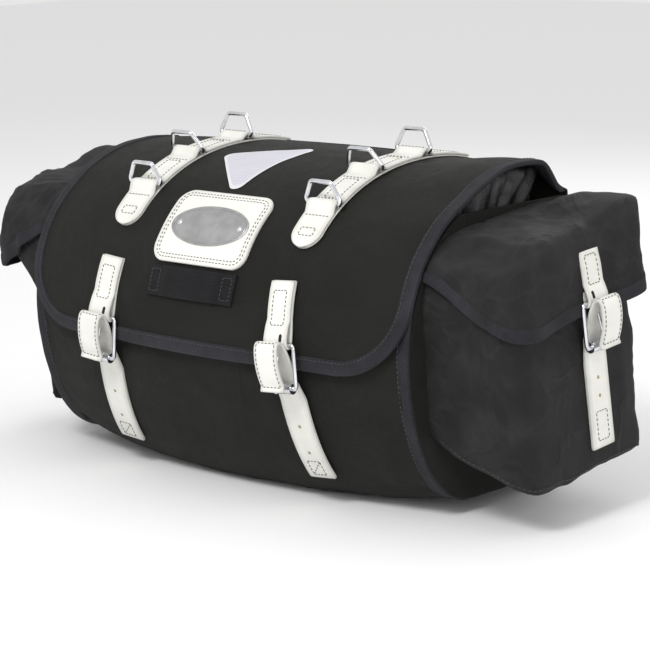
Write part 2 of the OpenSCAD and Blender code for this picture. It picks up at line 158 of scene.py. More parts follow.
class Piece:
    """Collects the faces of one piece. Points are in mm, and uv is in metres along the cloth."""

    def __init__(self, name, *mats):
        self.name, self.mats = name, mats
        self.v, self.f, self.m, self.uv, self.wear = [], [], [], [], []

    def add(self, p, uv=(0, 0), wear=0.0):
        self.v.append(p)
        self.uv.append(uv)
        self.wear.append(wear)
        return len(self.v) - 1

    def face(self, ids, mat=0):
        self.f.append(ids)
        self.m.append(mat)

    def rows(self, rows, mat=0, wrap=False, loop=False):
        """Quads between rows of vertex numbers; wrap closes each row, loop closes the stack."""
        n, k = len(rows), len(rows[0])
        for i in range(n if loop else n - 1):
            a, b = rows[i], rows[(i + 1) % n]
            for j in range(k if wrap else k - 1):
                q = (a[j], a[(j + 1) % k], b[(j + 1) % k], b[j])
                if len(set(q)) > 2:
                    self.face([v for t, v in enumerate(q) if v not in q[:t]], mat)

    def sheet(self, surface, grid, thick, wrap=False, wear=None):
        """Two-sided sheet; grid is rows of (a, b), and the outer side is the surface."""
        out, back = [], []
        for row in grid:
            o, i = [], []
            for a, b in row:
                n = surface.normal(a, b)
                p = surface.fn(a, b)
                w = wear(a, b) if wear else 0.0
                o.append(self.add(p, (a * MM, b * MM), w))
                i.append(self.add(p - n * thick, (a * MM, b * MM), w))
            out.append(o)
            back.append(i)
        self.rows(out, wrap=wrap)
        self.rows([r[::-1] for r in back], wrap=wrap)
        k = len(grid[0])
        for r, s in ((0, 1), (len(grid) - 1, -1)):
            for j in range(k if wrap else k - 1):
                q = [out[r][j], out[r][(j + 1) % k], back[r][(j + 1) % k], back[r][j]]
                self.face(q if s < 0 else q[::-1])
        if not wrap:
            for c, s in ((0, 1), (k - 1, -1)):
                for j in range(len(grid) - 1):
                    q = [out[j][c], out[j + 1][c], back[j + 1][c], back[j][c]]
                    self.face(q if s > 0 else q[::-1])

    def sweep(self, frames, section, loop=False, scale=None, wear=None):
        """Moves a closed section of (a, b) points along frames of (origin, ex, ey)."""
        rows, run, last = [], 0.0, None
        for i, (o, ex, ey) in enumerate(frames):
            run += (o - last).length if last is not None else 0.0
            last = o
            s = scale[i] if scale else (1, 1)
            row, girth, prev = [], 0.0, section[0]
            for a, b in section:
                girth += math.hypot(a - prev[0], b - prev[1])
                prev = (a, b)
                w = wear(run, a, b) if wear else 0.0
                row.append(self.add(o + ex * a * s[0] + ey * b * s[1], (girth * MM, run * MM), w))
            rows.append(row)
        self.rows(rows, wrap=True, loop=loop)
        if not loop:
            self.face(rows[0][::-1])
            self.face(rows[-1])

    def tube(self, points, r, sides=12, loop=False, radii=None):
        """Round wire along points."""
        frames, up = [], None
        n = len(points)
        for i, p in enumerate(points):
            a = points[(i - 1) % n] if loop or i else p
            b = points[(i + 1) % n] if loop or i < n - 1 else p
            t = (b - a).normalized()
            if up is None:
                up = t.orthogonal().normalized()
            up = (up - t * up.dot(t)).normalized()
            frames.append((p, up, t.cross(up)))
        ring = [(r * c, r * s) for c, s in around(sides)]
        self.sweep(frames, ring, loop, [(q, q) for q in radii] if radii else None)

    def stitch(self, p, q, n, r):
        """One stitch from p to q over a surface with normal n, in the piece's second material."""
        d = q - p
        t = d.normalized()
        side = n.cross(t)
        rows = []
        for share, k in ((0.0, 0.35), (0.12, 0.85), (0.5, 1.0), (0.88, 0.85), (1.0, 0.35)):
            c = p + d * share + n * (0.25 * (1 - (2 * share - 1) ** 4) - 0.12)
            rows.append([self.add(c + (side * x + n * y) * r * k) for x, y in around(6)])
        self.rows(rows, 1, wrap=True)
        self.face(rows[0][::-1], 1)
        self.face(rows[-1], 1)

    def seam(self, where, length, pitch=3.2, share=0.74, r=0.4, start=0.0):
        """Stitches along where(s) -> (point, normal), for s from start to length."""
        n = max(1, round((length - start) / pitch))
        step = (length - start) / n
        for i in range(n):
            s = start + i * step
            p, n1 = where(s + step * (1 - share) / 2)
            q, n2 = where(s + step * (1 + share) / 2)
            self.stitch(p, q, (n1 + n2).normalized(), r)

    def disc(self, centre, normal, side, r, depth, mat=0, sides=16, dome=0.0):
        """Short round plug, such as a rivet head or the dark end of a hole."""
        up = normal.cross(side).normalized()
        side = up.cross(normal).normalized()
        rows = []
        for k, h in ((1.0, -depth), (1.0, 0.0), (0.86, dome * 0.55), (0.5, dome * 0.9), (0.0, dome)):
            at = centre + normal * h
            rows.append([self.add(at + (side * x + up * y) * r * max(k, 0.02)) for x, y in around(sides)])
        self.rows(rows, mat, wrap=True)
        self.face(rows[-1], mat)

    def build(self, ride=None, replaces=(), blend=None):
        me = bpy.data.meshes.new(self.name)
        me.from_pydata([p * MM for p in self.v], [], self.f)
        mesh = bmesh.new()
        mesh.from_mesh(me)
        bmesh.ops.recalc_face_normals(mesh, faces=mesh.faces)
        mesh.to_mesh(me)
        mesh.free()
        for m in self.mats:
            me.materials.append(m)
        me.polygons.foreach_set("material_index", self.m)
        me.polygons.foreach_set("use_smooth", [True] * len(self.f))
        layer = me.uv_layers.new(name="cloth")
        for loop_ in me.loops:
            layer.data[loop_.index].uv = self.uv[loop_.vertex_index]
        worn = me.attributes.new("wear", "FLOAT", "POINT")
        worn.data.foreach_set("value", self.wear)
        me.update()
        o = bpy.data.objects.new(self.name, me)
        bpy.context.scene.collection.objects.link(o)
        me.set_sharp_from_angle(angle=math.radians(40))
        if replaces:
            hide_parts(*replaces)
        if blend:
            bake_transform(o)
        else:
            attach(o, ride)
        return o


def rounded_box(w, h, r, steps):
    """Points round a rectangle with its middle at the origin and its corners rounded to r."""
    x, y = w / 2 - r, h / 2 - r
    pts = []
    for centre, a0 in (((x, y), 0), ((-x, y), 90), ((-x, -y), 180), ((x, -y), 270)):
        pts += arc(centre, r, a0, a0 + 90, steps)
    return pts


def strap_section(width, thick):
    pts = rounded_box(width, thick, 0.6, 3)
    cols = []
    for i, p in enumerate(pts):  # extra points across the two wide sides
        cols.append(p)
        q = pts[(i + 1) % len(pts)]
        if abs(q[0] - p[0]) > width / 2:
            cols += [(lerp(p[0], q[0], k / 6), p[1]) for k in range(1, 6)]
    return cols


def rounded_loop(corners, r):
    """Points along a closed chain of corners, with each corner bent to radius r."""
    pts, n = [], len(corners)
    for i, c in enumerate(corners):
        a, b = corners[i - 1], corners[(i + 1) % n]
        da, db = (a - c).normalized(), (b - c).normalized()
        half = da.angle(db) / 2
        cut = r / math.tan(half)
        centre = c + (da + db).normalized() * (r / math.sin(half))
        p0, p1 = c + da * cut - centre, c + db * cut - centre
        full = p0.angle(p1)
        for k in range(7):
            near, far = math.sin((1 - k / 6) * full), math.sin(k / 6 * full)
            pts.append(centre + (p0 * near + p1 * far) / math.sin(full))
    return pts


def fill(points, step, closed=False):
    """Adds points so that none are further apart than step."""
    out = []
    n = len(points)
    for i in range(n if closed else n - 1):
        a, b = points[i], points[(i + 1) % n]
        k = max(1, math.ceil((b - a).length / step))
        out += [a.lerp(b, j / k) for j in range(k)]
    return out if closed else out + [points[-1]]


def soften(points, rounds=2, closed=False):
    for _ in range(rounds):
        n = len(points)
        points = [points[i] if not closed and i in (0, n - 1) else
                  (points[i - 1] + points[i] * 2 + points[(i + 1) % n]) / 4 for i in range(n)]
    return points


# ---------------------------------------------------------------- materials


class Shader:
    def __init__(self, name):
        self.mat = bpy.data.materials.new(name)
        self.mat.use_nodes = True
        self.tree = self.mat.node_tree
        self.bsdf = self.tree.nodes["Principled BSDF"]

    def add(self, kind, inputs=None, out=0, **props):
        node = self.tree.nodes.new(kind)
        for k, v in props.items():
            setattr(node, k, v)
        for k, v in (inputs or {}).items():
            if isinstance(v, bpy.types.NodeSocket):
                self.tree.links.new(v, node.inputs[k])
            else:
                node.inputs[k].default_value = v
        return node.outputs[out]

    def math(self, op, a, b=0.0):
        return self.add("ShaderNodeMath", {0: a, 1: b}, operation=op)

    def ramp(self, fac, lo, hi, a=0.0, b=1.0):
        ins = {0: fac, 1: lo, 2: hi, 3: a, 4: b}
        return self.add("ShaderNodeMapRange", ins, interpolation_type="SMOOTHSTEP")

    def noise(self, vec, scale, detail=3.0, rough=0.5, distort=0.0):
        ins = {"Vector": vec, "Scale": scale, "Detail": detail, "Roughness": rough, "Distortion": distort}
        return self.add("ShaderNodeTexNoise", ins)

    def mix(self, fac, a, b):
        return self.add("ShaderNodeMix", {0: fac, 6: a, 7: b}, out=2, data_type="RGBA")

    def bump(self, height, strength, distance, normal=None):
        ins = {"Height": height, "Strength": strength, "Distance": distance}
        if normal is not None:
            ins["Normal"] = normal
        return self.add("ShaderNodeBump", ins)

    def set(self, **inputs):
        for k, v in inputs.items():
            socket = self.bsdf.inputs[k.replace("_", " ")]
            if isinstance(v, bpy.types.NodeSocket):
                self.tree.links.new(v, socket)
            else:
                socket.default_value = v
        return self.mat

    def uv(self):
        return self.add("ShaderNodeUVMap", uv_map="cloth")

    def local(self):
        return self.add("ShaderNodeTexCoord", out=3)

    # The wear attribute: real wear on most pieces; on the lid and body canvas it also carries a painted
    # highlight where the cloth stands out.
    def wear(self):
        return self.add("ShaderNodeAttribute", out=2, attribute_name="wear")

    def axes(self, vec):
        xyz = self.tree.nodes.new("ShaderNodeSeparateXYZ")
        self.tree.links.new(vec, xyz.inputs[0])
        return xyz.outputs

    def wave(self, value, pitch):
        return self.math("SINE", self.math("MULTIPLY", value, 2 * math.pi / pitch))

    def stretched(self, by):
        return self.add("ShaderNodeVectorMath", {0: self.local(), 1: by}, operation="MULTIPLY")


def rgb(r, g, b):
    return (r, g, b, 1.0)


def tint(colour, by=1.0):
    return rgb(*[c * by for c in colour])


def weave(s, vec, pitch):
    """Height of a plain weave, from -1 to 1."""
    across, along, _ = s.axes(vec)
    return s.math("MULTIPLY", s.wave(across, pitch), s.wave(along, pitch))


def canvas(name, base, worn, crease, rough=0.78):
    s = Shader(name)
    uv, place = s.uv(), s.local()
    cloth = weave(s, uv, 0.0011)
    slub = s.noise(uv, 900, 2)
    mottle = s.noise(place, 22, 5, 0.6, 0.6)
    rub = s.noise(place, 55, 6, 0.7, 1.5)
    lines = s.math("ABSOLUTE", s.math("SUBTRACT", s.noise(place, 20, 2, 0.5, 1.1), 0.5))
    fold = s.ramp(lines, 0.0, 0.09, 1.0, 0.0)
    # Moves the colour towards the worn colour: random rubbing, crease lines and the wear attribute, which on
    # the lid and body also carries a painted highlight on raised cloth.
    fade_and_highlight = s.math("ADD", s.math("MULTIPLY", s.ramp(rub, 0.45, 0.8), 0.45),
                  s.math("ADD", s.math("MULTIPLY", fold, 0.06 * crease), s.math("MULTIPLY", s.wear(), 0.8)))
    tone = s.math("ADD", s.math("MULTIPLY", cloth, 0.13), s.math("MULTIPLY", slub, 0.5))
    dark = s.mix(s.ramp(mottle, 0.3, 0.75), tint(base, 0.72), tint(base, 1.25))
    faded_and_highlit = s.mix(s.math("MINIMUM", fade_and_highlight, 1.0), dark, tint(worn))
    colour = s.mix(s.math("MINIMUM", s.math("MAXIMUM", tone, 0.0), 0.5), faded_and_highlit, tint(base, 1.6))
    n = s.bump(s.math("ADD", fold, s.math("MULTIPLY", mottle, 1.5)), 0.35 * crease, 0.0012)
    n = s.bump(slub, 0.25, 0.0004, n)
    n = s.bump(cloth, 0.5, 0.0003, n)
    return s.set(Base_Color=colour, Roughness=s.ramp(rub, 0.3, 0.8, rough - 0.1, rough + 0.08), Normal=n,
                 Sheen_Weight=0.02, Sheen_Roughness=0.5, Specular_IOR_Level=0.18)


def tape(name, base, pitch=0.0016):
    s = Shader(name)
    across, along, _ = s.axes(s.uv())
    zigzag = s.math("MULTIPLY", s.wave(across, 0.0012), 0.9)
    rib = s.math("SINE", s.math("ADD", s.math("MULTIPLY", along, 2 * math.pi / pitch), zigzag))
    mottle = s.noise(s.local(), 60, 4, 0.6)
    colour = s.mix(s.ramp(mottle, 0.3, 0.75), tint(base, 0.75), tint(base, 1.25))
    colour = s.mix(s.math("MULTIPLY", s.wear(), 0.6), colour, tint(base, 2.2))
    n = s.bump(rib, 0.6, 0.0004)
    n = s.bump(mottle, 0.3, 0.0008, n)
    return s.set(Base_Color=colour, Roughness=0.8, Normal=n, Sheen_Weight=0.03, Specular_IOR_Level=0.2)


def leather(name):
    s = Shader(name)
    place = s.local()
    cell = s.add("ShaderNodeTexVoronoi", {"Vector": place, "Scale": 1300.0, "Randomness": 1.0}, feature="F1")
    grain = s.noise(place, 700, 4, 0.65)
    tone = s.noise(place, 26, 5, 0.6, 0.4)
    spot = s.noise(place, 150, 5, 0.75)
    colour = s.mix(s.ramp(tone, 0.35, 0.7), rgb(0.72, 0.715, 0.665), rgb(0.79, 0.785, 0.74))
    colour = s.mix(s.ramp(spot, 0.6, 0.85, 0.0, 0.25), colour, rgb(0.62, 0.59, 0.52))
    colour = s.mix(s.math("MULTIPLY", s.wear(), 0.75), colour, rgb(0.36, 0.345, 0.32))
    n = s.bump(cell, 0.28, 0.0003)
    n = s.bump(grain, 0.22, 0.0004, n)
    n = s.bump(tone, 0.3, 0.001, n)
    rough = s.ramp(grain, 0.3, 0.7, 0.4, 0.55)
    return s.set(Base_Color=colour, Roughness=rough, Normal=n, Specular_IOR_Level=0.45)


def thread(name, base):
    s = Shader(name)
    n = s.bump(s.noise(s.local(), 2500, 2), 0.5, 0.0003)
    colour = s.mix(s.noise(s.local(), 400, 2), tint(base, 0.8), tint(base))
    return s.set(Base_Color=colour, Roughness=0.7, Normal=n)


def metal(name, base, rough, grain=(1, 1, 1), streak=0.12, scratch=0.08):
    s = Shader(name)
    fine = s.noise(s.stretched(grain), 900, 4, 0.6)
    cloud = s.noise(s.local(), 120, 3)
    colour = s.mix(s.ramp(cloud, 0.3, 0.75), tint(base, 0.82), tint(base))
    return s.set(Base_Color=colour, Metallic=1.0, Normal=s.bump(fine, scratch, 0.0002),
                 Roughness=s.math("ADD", s.math("MULTIPLY", fine, streak), rough - streak / 2))


def moulded(name, base, rough=0.45):
    s = Shader(name)
    n = s.bump(s.noise(s.local(), 1500, 3), 0.15, 0.0002)
    colour = s.mix(s.noise(s.local(), 90, 3), tint(base, 0.8), tint(base))
    return s.set(Base_Color=colour, Roughness=rough, Normal=n)


def nylon(name):
    s = Shader(name)
    cloth = weave(s, s.uv(), 0.0008)
    crinkle_and_highlight = s.noise(s.local(), 90, 6, 0.65, 1.2)
    # painted highlight and shade: the colour runs from near black in the crinkles' hollows to a lighter
    # bluish tone on their raised crests, following the bump
    colour = s.mix(crinkle_and_highlight, rgb(0.003, 0.003, 0.0036), rgb(0.015, 0.016, 0.019))
    n = s.bump(crinkle_and_highlight, 0.7, 0.003)
    n = s.bump(cloth, 0.15, 0.0002, n)
    return s.set(Base_Color=colour, Roughness=0.33, Normal=n, Specular_IOR_Level=0.5,
                 Coat_Weight=0.15, Coat_Roughness=0.25)


def timber(name):
    s = Shader(name)
    along = s.stretched((0.6, 14, 14))
    ins = {"Vector": along, "Scale": 9.0, "Distortion": 7.0, "Detail": 3.0, "Detail Scale": 1.2}
    rings = s.add("ShaderNodeTexWave", ins, out=1, wave_type="BANDS", bands_direction="Z")
    pore = s.noise(s.stretched((1, 12, 12)), 260, 3)
    colour = s.mix(rings, rgb(0.50, 0.31, 0.15), rgb(0.64, 0.45, 0.26))
    colour = s.mix(s.ramp(pore, 0.6, 0.8, 0, 0.5), colour, rgb(0.3, 0.17, 0.08))
    return s.set(Base_Color=colour, Roughness=0.55, Normal=s.bump(pore, 0.2, 0.0003))


def retro(name):
    s = Shader(name)
    ins = {"Vector": s.uv(), "Scale": 330.0, "Randomness": 0.0}
    cell = s.add("ShaderNodeTexVoronoi", ins, feature="DISTANCE_TO_EDGE")
    edge = s.ramp(cell, 0.0, 0.12)
    tone = s.noise(s.local(), 40, 4)
    colour = s.mix(tone, rgb(0.50, 0.49, 0.56), rgb(0.66, 0.65, 0.72))
    colour = s.mix(edge, rgb(0.72, 0.72, 0.76), colour)
    n = s.bump(edge, 0.12, 0.0002)
    return s.set(Base_Color=colour, Roughness=0.42, Metallic=0.25, Normal=n, Coat_Weight=0.15)


BLACK = canvas("black_duck", (0.0072, 0.0072, 0.0060), (0.022, 0.022, 0.020), crease=0.6)
GREY = canvas("pocket_duck", (0.0105, 0.0105, 0.0107), (0.046, 0.046, 0.046), crease=1.8, rough=0.68)
BIND = tape("binding_tape", (0.020, 0.020, 0.0245))
WEBBING = tape("webbing", (0.0065, 0.006, 0.0075), 0.0022)
LEATHER = leather("white_leather")
THREAD = thread("grey_thread", (0.13, 0.125, 0.115))
DARK_THREAD = thread("dark_thread", (0.05, 0.05, 0.055))
CORD = thread("cord_braid", (0.6, 0.59, 0.55))
NICKEL = metal("nickel_wire", (0.80, 0.81, 0.84), 0.16)
PLATE = metal("brushed_plate", (0.50, 0.50, 0.50), 0.42, (0.15, 6, 6), 0.25, 0.3)
STEEL = metal("spring_steel", (0.7, 0.7, 0.7), 0.25)
NYLON = nylon("shiny_nylon")
LOCK = moulded("lock_plastic", (0.016, 0.016, 0.016))
WOOD = timber("planed_beech")
RETRO = retro("reflective_film")
EDGING = moulded("film_edge", (0.74, 0.73, 0.76), 0.5)
HOLE = moulded("hole_shadow", (0.012, 0.01, 0.009), 0.9)
PUNCHED = moulded("punched_leather", (0.36, 0.29, 0.17), 0.8)

# ---------------------------------------------------------------- the bag's form

HALF = 175.0  # half the length of the main bag
LID_HALF = 177.0  # half the length of the lid
STRAP_X = 84.0  # the closures and lid straps stand this far from the middle
BACK = 80.0  # y of the flat back
FRONT_Z = 106.0  # height at which the front bulges furthest
CROWN_Y = 34.0  # y of the highest line of the lid
LID_EDGE = 98.0  # height of the lid's lower edge
LID_R = 50.0  # radius of the lid's front corners
LID_GAP = 4.5  # from the lid's face to the body's
CLOTH = 2.2  # thickness of the canvas with its lining


def reach(x):
    """How far the front bulges towards -Y."""
    return 106 - 4 * (x / STRAP_X) ** 2


def crown(x):
    """Height of the lid."""
    return 222 - (x / STRAP_X) ** 2


def low(x):
    """Height of the bottom, which lifts towards the ends."""
    return 10 * (max(0, abs(x) - 52) / 125) ** 2


def lower_front(f, base):
    return (60 - f, base), (30 - f, base), (3 - f, 48), (-f, FRONT_Z)


def upper_front(f, top):
    shoulder = FRONT_Z + 0.64 * (top - FRONT_Z)
    return (-f, FRONT_Z), (-f, shoulder), (0.41 * (f + CROWN_Y) - f, top), (CROWN_Y, top)


def rear_top(top):
    return (CROWN_Y, top), (CROWN_Y + 18, top), (BACK - 12, top - 2), (BACK, top - 6)


class Profile:
    """Turns a length along a chain of curves into a place on it, for any x."""

    def __init__(self, parts, d):
        self.parts, self.d = parts, d
        self.run, self.key = [0.0], [(0, 0.0)]
        last = Vector(self.place(STRAP_X, 0, 0.0))
        for i in range(len(parts)):
            for k in range(1, 41):
                p = Vector(self.place(STRAP_X, i, k / 40))
                self.run.append(self.run[-1] + (p - last).length)
                self.key.append((i, k / 40))
                last = p
        self.length = self.run[-1]

    def place(self, x, part, t):
        return self.parts[part](reach(x) - self.d, crown(x) - self.d, low(x), t)

    def yz(self, x, s):
        s = clamp(s, 0, self.length)
        i = clamp(bisect.bisect_right(self.run, s) - 1, 0, len(self.run) - 2)
        t = (s - self.run[i]) / (self.run[i + 1] - self.run[i])
        a = self.key[i] if self.key[i][0] == self.key[i + 1][0] else (self.key[i + 1][0], 0.0)
        return self.place(x, self.key[i + 1][0], lerp(a[1], self.key[i + 1][1], t))

    def find(self, test):
        """First length at which test(y, z) holds, on the strap line."""
        return next(s / 4 for s in range(int(self.length * 4)) if test(*self.yz(STRAP_X, s / 4)))


T_EDGE = 0.955  # share of the lower front curve at the lid's edge
lid_profile = Profile([
    lambda f, top, base, t: bez(lower_front(f, 0), lerp(T_EDGE, 1, t)),
    lambda f, top, base, t: bez(upper_front(f, top), t),
    lambda f, top, base, t: bez(rear_top(top), t)], 0)
LID_LEN = lid_profile.length


def lid_wave(x, s):
    """How far the lid's cloth stands off its even form."""
    hold = 1 - 0.85 * max(bump(abs(x), STRAP_X, 26) * (1 - smooth(s, 20, 45) + smooth(s, 80, 100)), 0)
    flat = 1 - bump(x, 0, 62) * smooth(s, 25, 40) * (1 - smooth(s, 150, 175))
    edge = math.exp(-s / 26)
    v = 1.3 * edge * fuzz(x, 3, 0, 62, 4.2) + 0.7 * edge * math.sin(x / 29 + 0.6) + 1.1 * edge
    v += (0.85 * fuzz(x, s, 0, 58, 1.3) + 0.3 * fuzz(x, s, 0, 21, 7.7)) * flat
    end = smooth(abs(x), 138, 172)
    v -= end * (0.6 + 0.6 * fuzz(s, x, 0, 33, 2.2))
    v *= 1 - 0.9 * smooth(s, LID_LEN - 26, LID_LEN - 6)
    to_back = LID_LEN - s
    lift = 7.0 * smooth(x, 98, 170) * (1 - smooth(to_back, 62, 120)) * smooth(to_back, 2, 32)
    return v * hold + lift - rear_droop(x) * (1 - smooth(to_back, 2, 28))


def rear_droop(x):
    """How far the soft rear corners hang below the crown."""
    return 2.0 * smooth(abs(x), 128, 165) + 9.0 * smooth(abs(x), 156, 179)


def lid_fn(x, s):
    """Outer face of the lid; s runs up from its lower edge and over to the back."""
    e = 0.5
    y, z = lid_profile.yz(x, s)
    y0, z0 = lid_profile.yz(x, s - e)
    y1, z1 = lid_profile.yz(x, s + e)
    d = math.hypot(y1 - y0, z1 - z0) or 1
    w = lid_wave(x, s)
    extra = max(0, s - LID_LEN)
    return Vector((x, y - (z1 - z0) / d * w + extra, z + (y1 - y0) / d * w - 0.4 * extra))


lid = Surface(lid_fn)


def lid_width(s):
    return LID_HALF - LID_R + math.sqrt(max(0, LID_R ** 2 - (LID_R - s) ** 2)) if s < LID_R else LID_HALF


def lid_grid():
    rows = [LID_R * (1 - math.cos(math.radians(a))) for a in range(3, 90, 6)]
    n = int((LID_LEN - LID_R) / 3.4)
    rows = [0.0] + rows + [lerp(LID_R, LID_LEN, k / n) for k in range(n + 1)]
    return [[(lid_width(s) * k / 54, s) for k in range(-54, 55)] for s in rows]


# Per-point wear for the lid and body canvas. The first term lightens the cloth where it stands out from its
# even form: a painted highlight on its bulges and crests. The second term is random wear.
def cloth_wear_and_highlight(fn):
    return lambda a, b: 0.25 * clamp(fn(a, b) * 0.35) + 0.22 * clamp(fuzz(a, b, 0, 40, 5.0) * 1.6)


def bound_edge(piece, surface, path, width, depth=CLOTH):
    """Folded tape over a sheet's edge. path is (a, b, na, nb) with n pointing into the sheet."""
    over = 0.85  # thickness of the tape
    sec = [(width, 0.1), (width - 0.5, over * 0.8), (width * 0.55, over), (1.2, over), (-0.5, over * 0.7),
           (-1.1, -depth / 2), (-0.5, -depth - over * 0.5), (1.2, -depth - over * 0.8),
           (width * 0.55, -depth - over * 0.8), (width - 0.5, -depth - over * 0.6), (width, -depth + 0.1)]
    rows, run, last = [], 0.0, None
    for a, b, na, nb in path:
        p0, n0 = surface.fn(a, b), surface.normal(a, b)
        tau = (surface.fn(a + na, b + nb) - p0).normalized()
        run += (p0 - last).length if last is not None else 0.0
        last = p0
        swell = 1 + 0.3 * fuzz(run, 0, 0, 17, 3.1)
        row, girth = [], 0.0
        for k, (u, h) in enumerate(sec):
            h = h * swell if h > 0 else h
            if u > 0:
                p = surface.at(a + na * u, b + nb * u, h)
            else:
                p = p0 + tau * u + n0 * h
            girth += 1.6
            worn = 0.55 * bump(k, 4, 2.2) * clamp(0.7 + fuzz(run, 5, 0, 30, 6))
            row.append(piece.add(p, (girth * MM, run * MM), worn))
        rows.append(row)
    piece.rows(rows, wrap=True)
    piece.face(rows[0][::-1])
    piece.face(rows[-1])
    at = [0.0]
    for i in range(1, len(path)):
        at.append(at[-1] + (surface.fn(*path[i][:2]) - surface.fn(*path[i - 1][:2])).length)

    def where(s):
        i = clamp(bisect.bisect_right(at, s) - 1, 0, len(at) - 2)
        t = (s - at[i]) / (at[i + 1] - at[i])
        a, b, na, nb = (lerp(p, q, t) for p, q in zip(path[i], path[i + 1]))
        u = width - 1.8
        return surface.spot(a + na * u, b + nb * u, over * 1.02)

    piece.seam(where, at[-1], 3.4, 0.66, 0.3)


def lid_boundary():
    path = [(LID_HALF, s, -1, 0) for s in [lerp(LID_LEN, LID_R, k / 60) for k in range(60)]]
    cx = LID_HALF - LID_R
    path += [(cx + LID_R * math.cos(a), LID_R - LID_R * math.sin(a), -math.cos(a), math.sin(a))
             for a in (math.radians(5 * k) for k in range(18))]
    path += [(x, 0, 0, 1) for x in [lerp(cx, -cx, k / 72) for k in range(73)]]
    path += [(-cx - LID_R * math.sin(a), LID_R - LID_R * math.cos(a), math.sin(a), math.cos(a))
             for a in (math.radians(5 * k) for k in range(1, 19))]
    return path + [(-LID_HALF, s, 1, 0) for s in [lerp(LID_R, LID_LEN, k / 60) for k in range(1, 61)]]


HINGE, _ = joint("lid_hinge")
LID_BEND = ("bag", "lid", (0, BACK * MM, (HINGE.z + 9) * MM), (0, (BACK - 14) * MM, (HINGE.z + 9) * MM))

p = Piece("lid_panel_cloth", BLACK, DARK_THREAD)
p.sheet(lid, lid_grid(), CLOTH, wear=cloth_wear_and_highlight(lid_wave))
p.seam(lambda s: lid.spot(s - LID_HALF + 12, LID_LEN - 6, 0.1), 2 * LID_HALF - 24)
p.build(replaces=["lid_panel"], blend=LID_BEND)
p = Piece("lid_edge_tape", BIND, DARK_THREAD)
bound_edge(p, lid, lid_boundary(), 9.0)
p.build(replaces=["lid_binding"], blend=LID_BEND)

# ---------------------------------------------------------------- main bag

BODY_TOP = 0.575  # share of the upper front curve at the bag's mouth
BACK_TOP = 207.0
HEEL_R = 20.0  # radius between the bottom and the back
body_profile = Profile([
    lambda f, top, base, t: bez(upper_front(f, top), lerp(BODY_TOP, 0, t)),
    lambda f, top, base, t: bez(lower_front(f, base), 1 - t),
    lambda f, top, base, t: (lerp(60 - f, BACK - HEEL_R, t), base),
    lambda f, top, base, t: arc((BACK - HEEL_R, base + HEEL_R), HEEL_R, -90, 90 * t - 90, 1)[1],
    lambda f, top, base, t: (BACK, lerp(base + HEEL_R, BACK_TOP, t))], LID_GAP)
BODY_LEN = body_profile.length
BODY_EDGE = body_profile.find(lambda y, z: z < LID_EDGE)  # under the lid's edge
BODY_FLOOR = body_profile.find(lambda y, z: z < 4)
BODY_HEEL = body_profile.find(lambda y, z: z < 4 and y > BACK - 22)


def body_wave(x, s):
    shown = smooth(s, BODY_EDGE - 12, BODY_EDGE + 14) * (1 - smooth(s, BODY_LEN - 60, BODY_LEN - 12))
    on_front = smooth(s, BODY_EDGE - 30, BODY_EDGE) * (1 - smooth(s, BODY_FLOOR - 14, BODY_FLOOR))
    hold = 1 - 0.9 * bump(abs(x) - 5, STRAP_X, 22) * on_front  # flat behind the front straps
    v = 1.5 * fuzz(x, s, 0, 64, 2.9) + 0.7 * ridge(x * 0.6, s, 0, 30, 8.8) - 0.5
    v += 0.3 * fuzz(x, s, 0, 13, 3.3)
    v -= 1.6 * bump(s, BODY_FLOOR - 16, 9) * smooth(abs(x), 100, 165)  # tucks beside the lifted ends
    v *= 1 - 0.75 * smooth(abs(x), 160, 174)
    under = -0.5 * (1 - smooth(s, BODY_EDGE - 12, BODY_EDGE + 14))
    return v * shown * hold + under


def body_fn(x, s):
    """Outer face of the front, bottom and back; s runs down from the mouth, under the bag and up its back."""
    e = 0.5
    y, z = body_profile.yz(x, s)
    y0, z0 = body_profile.yz(x, s - e)
    y1, z1 = body_profile.yz(x, s + e)
    d = math.hypot(y1 - y0, z1 - z0) or 1
    w = body_wave(x, s)
    z -= rear_droop(x) * smooth(z, 150, 207) * (y > BACK - 4)
    return Vector((x, y + (z1 - z0) / d * w, max(z - (y1 - y0) / d * w, 0.3)))


body = Surface(body_fn, flip=True)
p = Piece("body_wrap_cloth", BLACK, DARK_THREAD)
rows = int(BODY_LEN / 4.2)
grid = [[(HALF * k / 46, BODY_LEN * r / rows) for k in range(-46, 47)] for r in range(rows + 1)]
p.sheet(body, grid, CLOTH, wear=cloth_wear_and_highlight(body_wave))
p.seam(lambda s: body.spot(s - HALF + 14, 6, 0.1), 2 * HALF - 28)
p.build("bag", ["body_wrap"])

# Tape sewn over the edge where the lid meets the back
p = Piece("back_seam_tape", BIND, DARK_THREAD)


def back_tape_row(x):
    """Outer and inner face of the tape at x, from the back up and over to the lid."""
    z = lid_fn(x, LID_LEN).z
    pts = [Vector((x, BACK + out, z + up)) for out, up in ((0.7, -12), (0.9, -6), (0.8, -2), (0.1, 0.5))]
    pts += [lid.at(x, LID_LEN - 3, 0.9), lid.at(x, LID_LEN - 9, 0.8)]
    pts = soften(fill(pts, 1.2), 2)
    wob = 0.3 * fuzz(x, 0, 0, 22, 6.2)
    inner = []
    for i, q in enumerate(pts):
        t = (pts[min(i + 1, len(pts) - 1)] - pts[max(i - 1, 0)]).normalized()
        n = Vector((0, t.z, -t.y))
        q += n * wob * 0.4
        inner.append(q - n * 0.7)
    return pts, inner


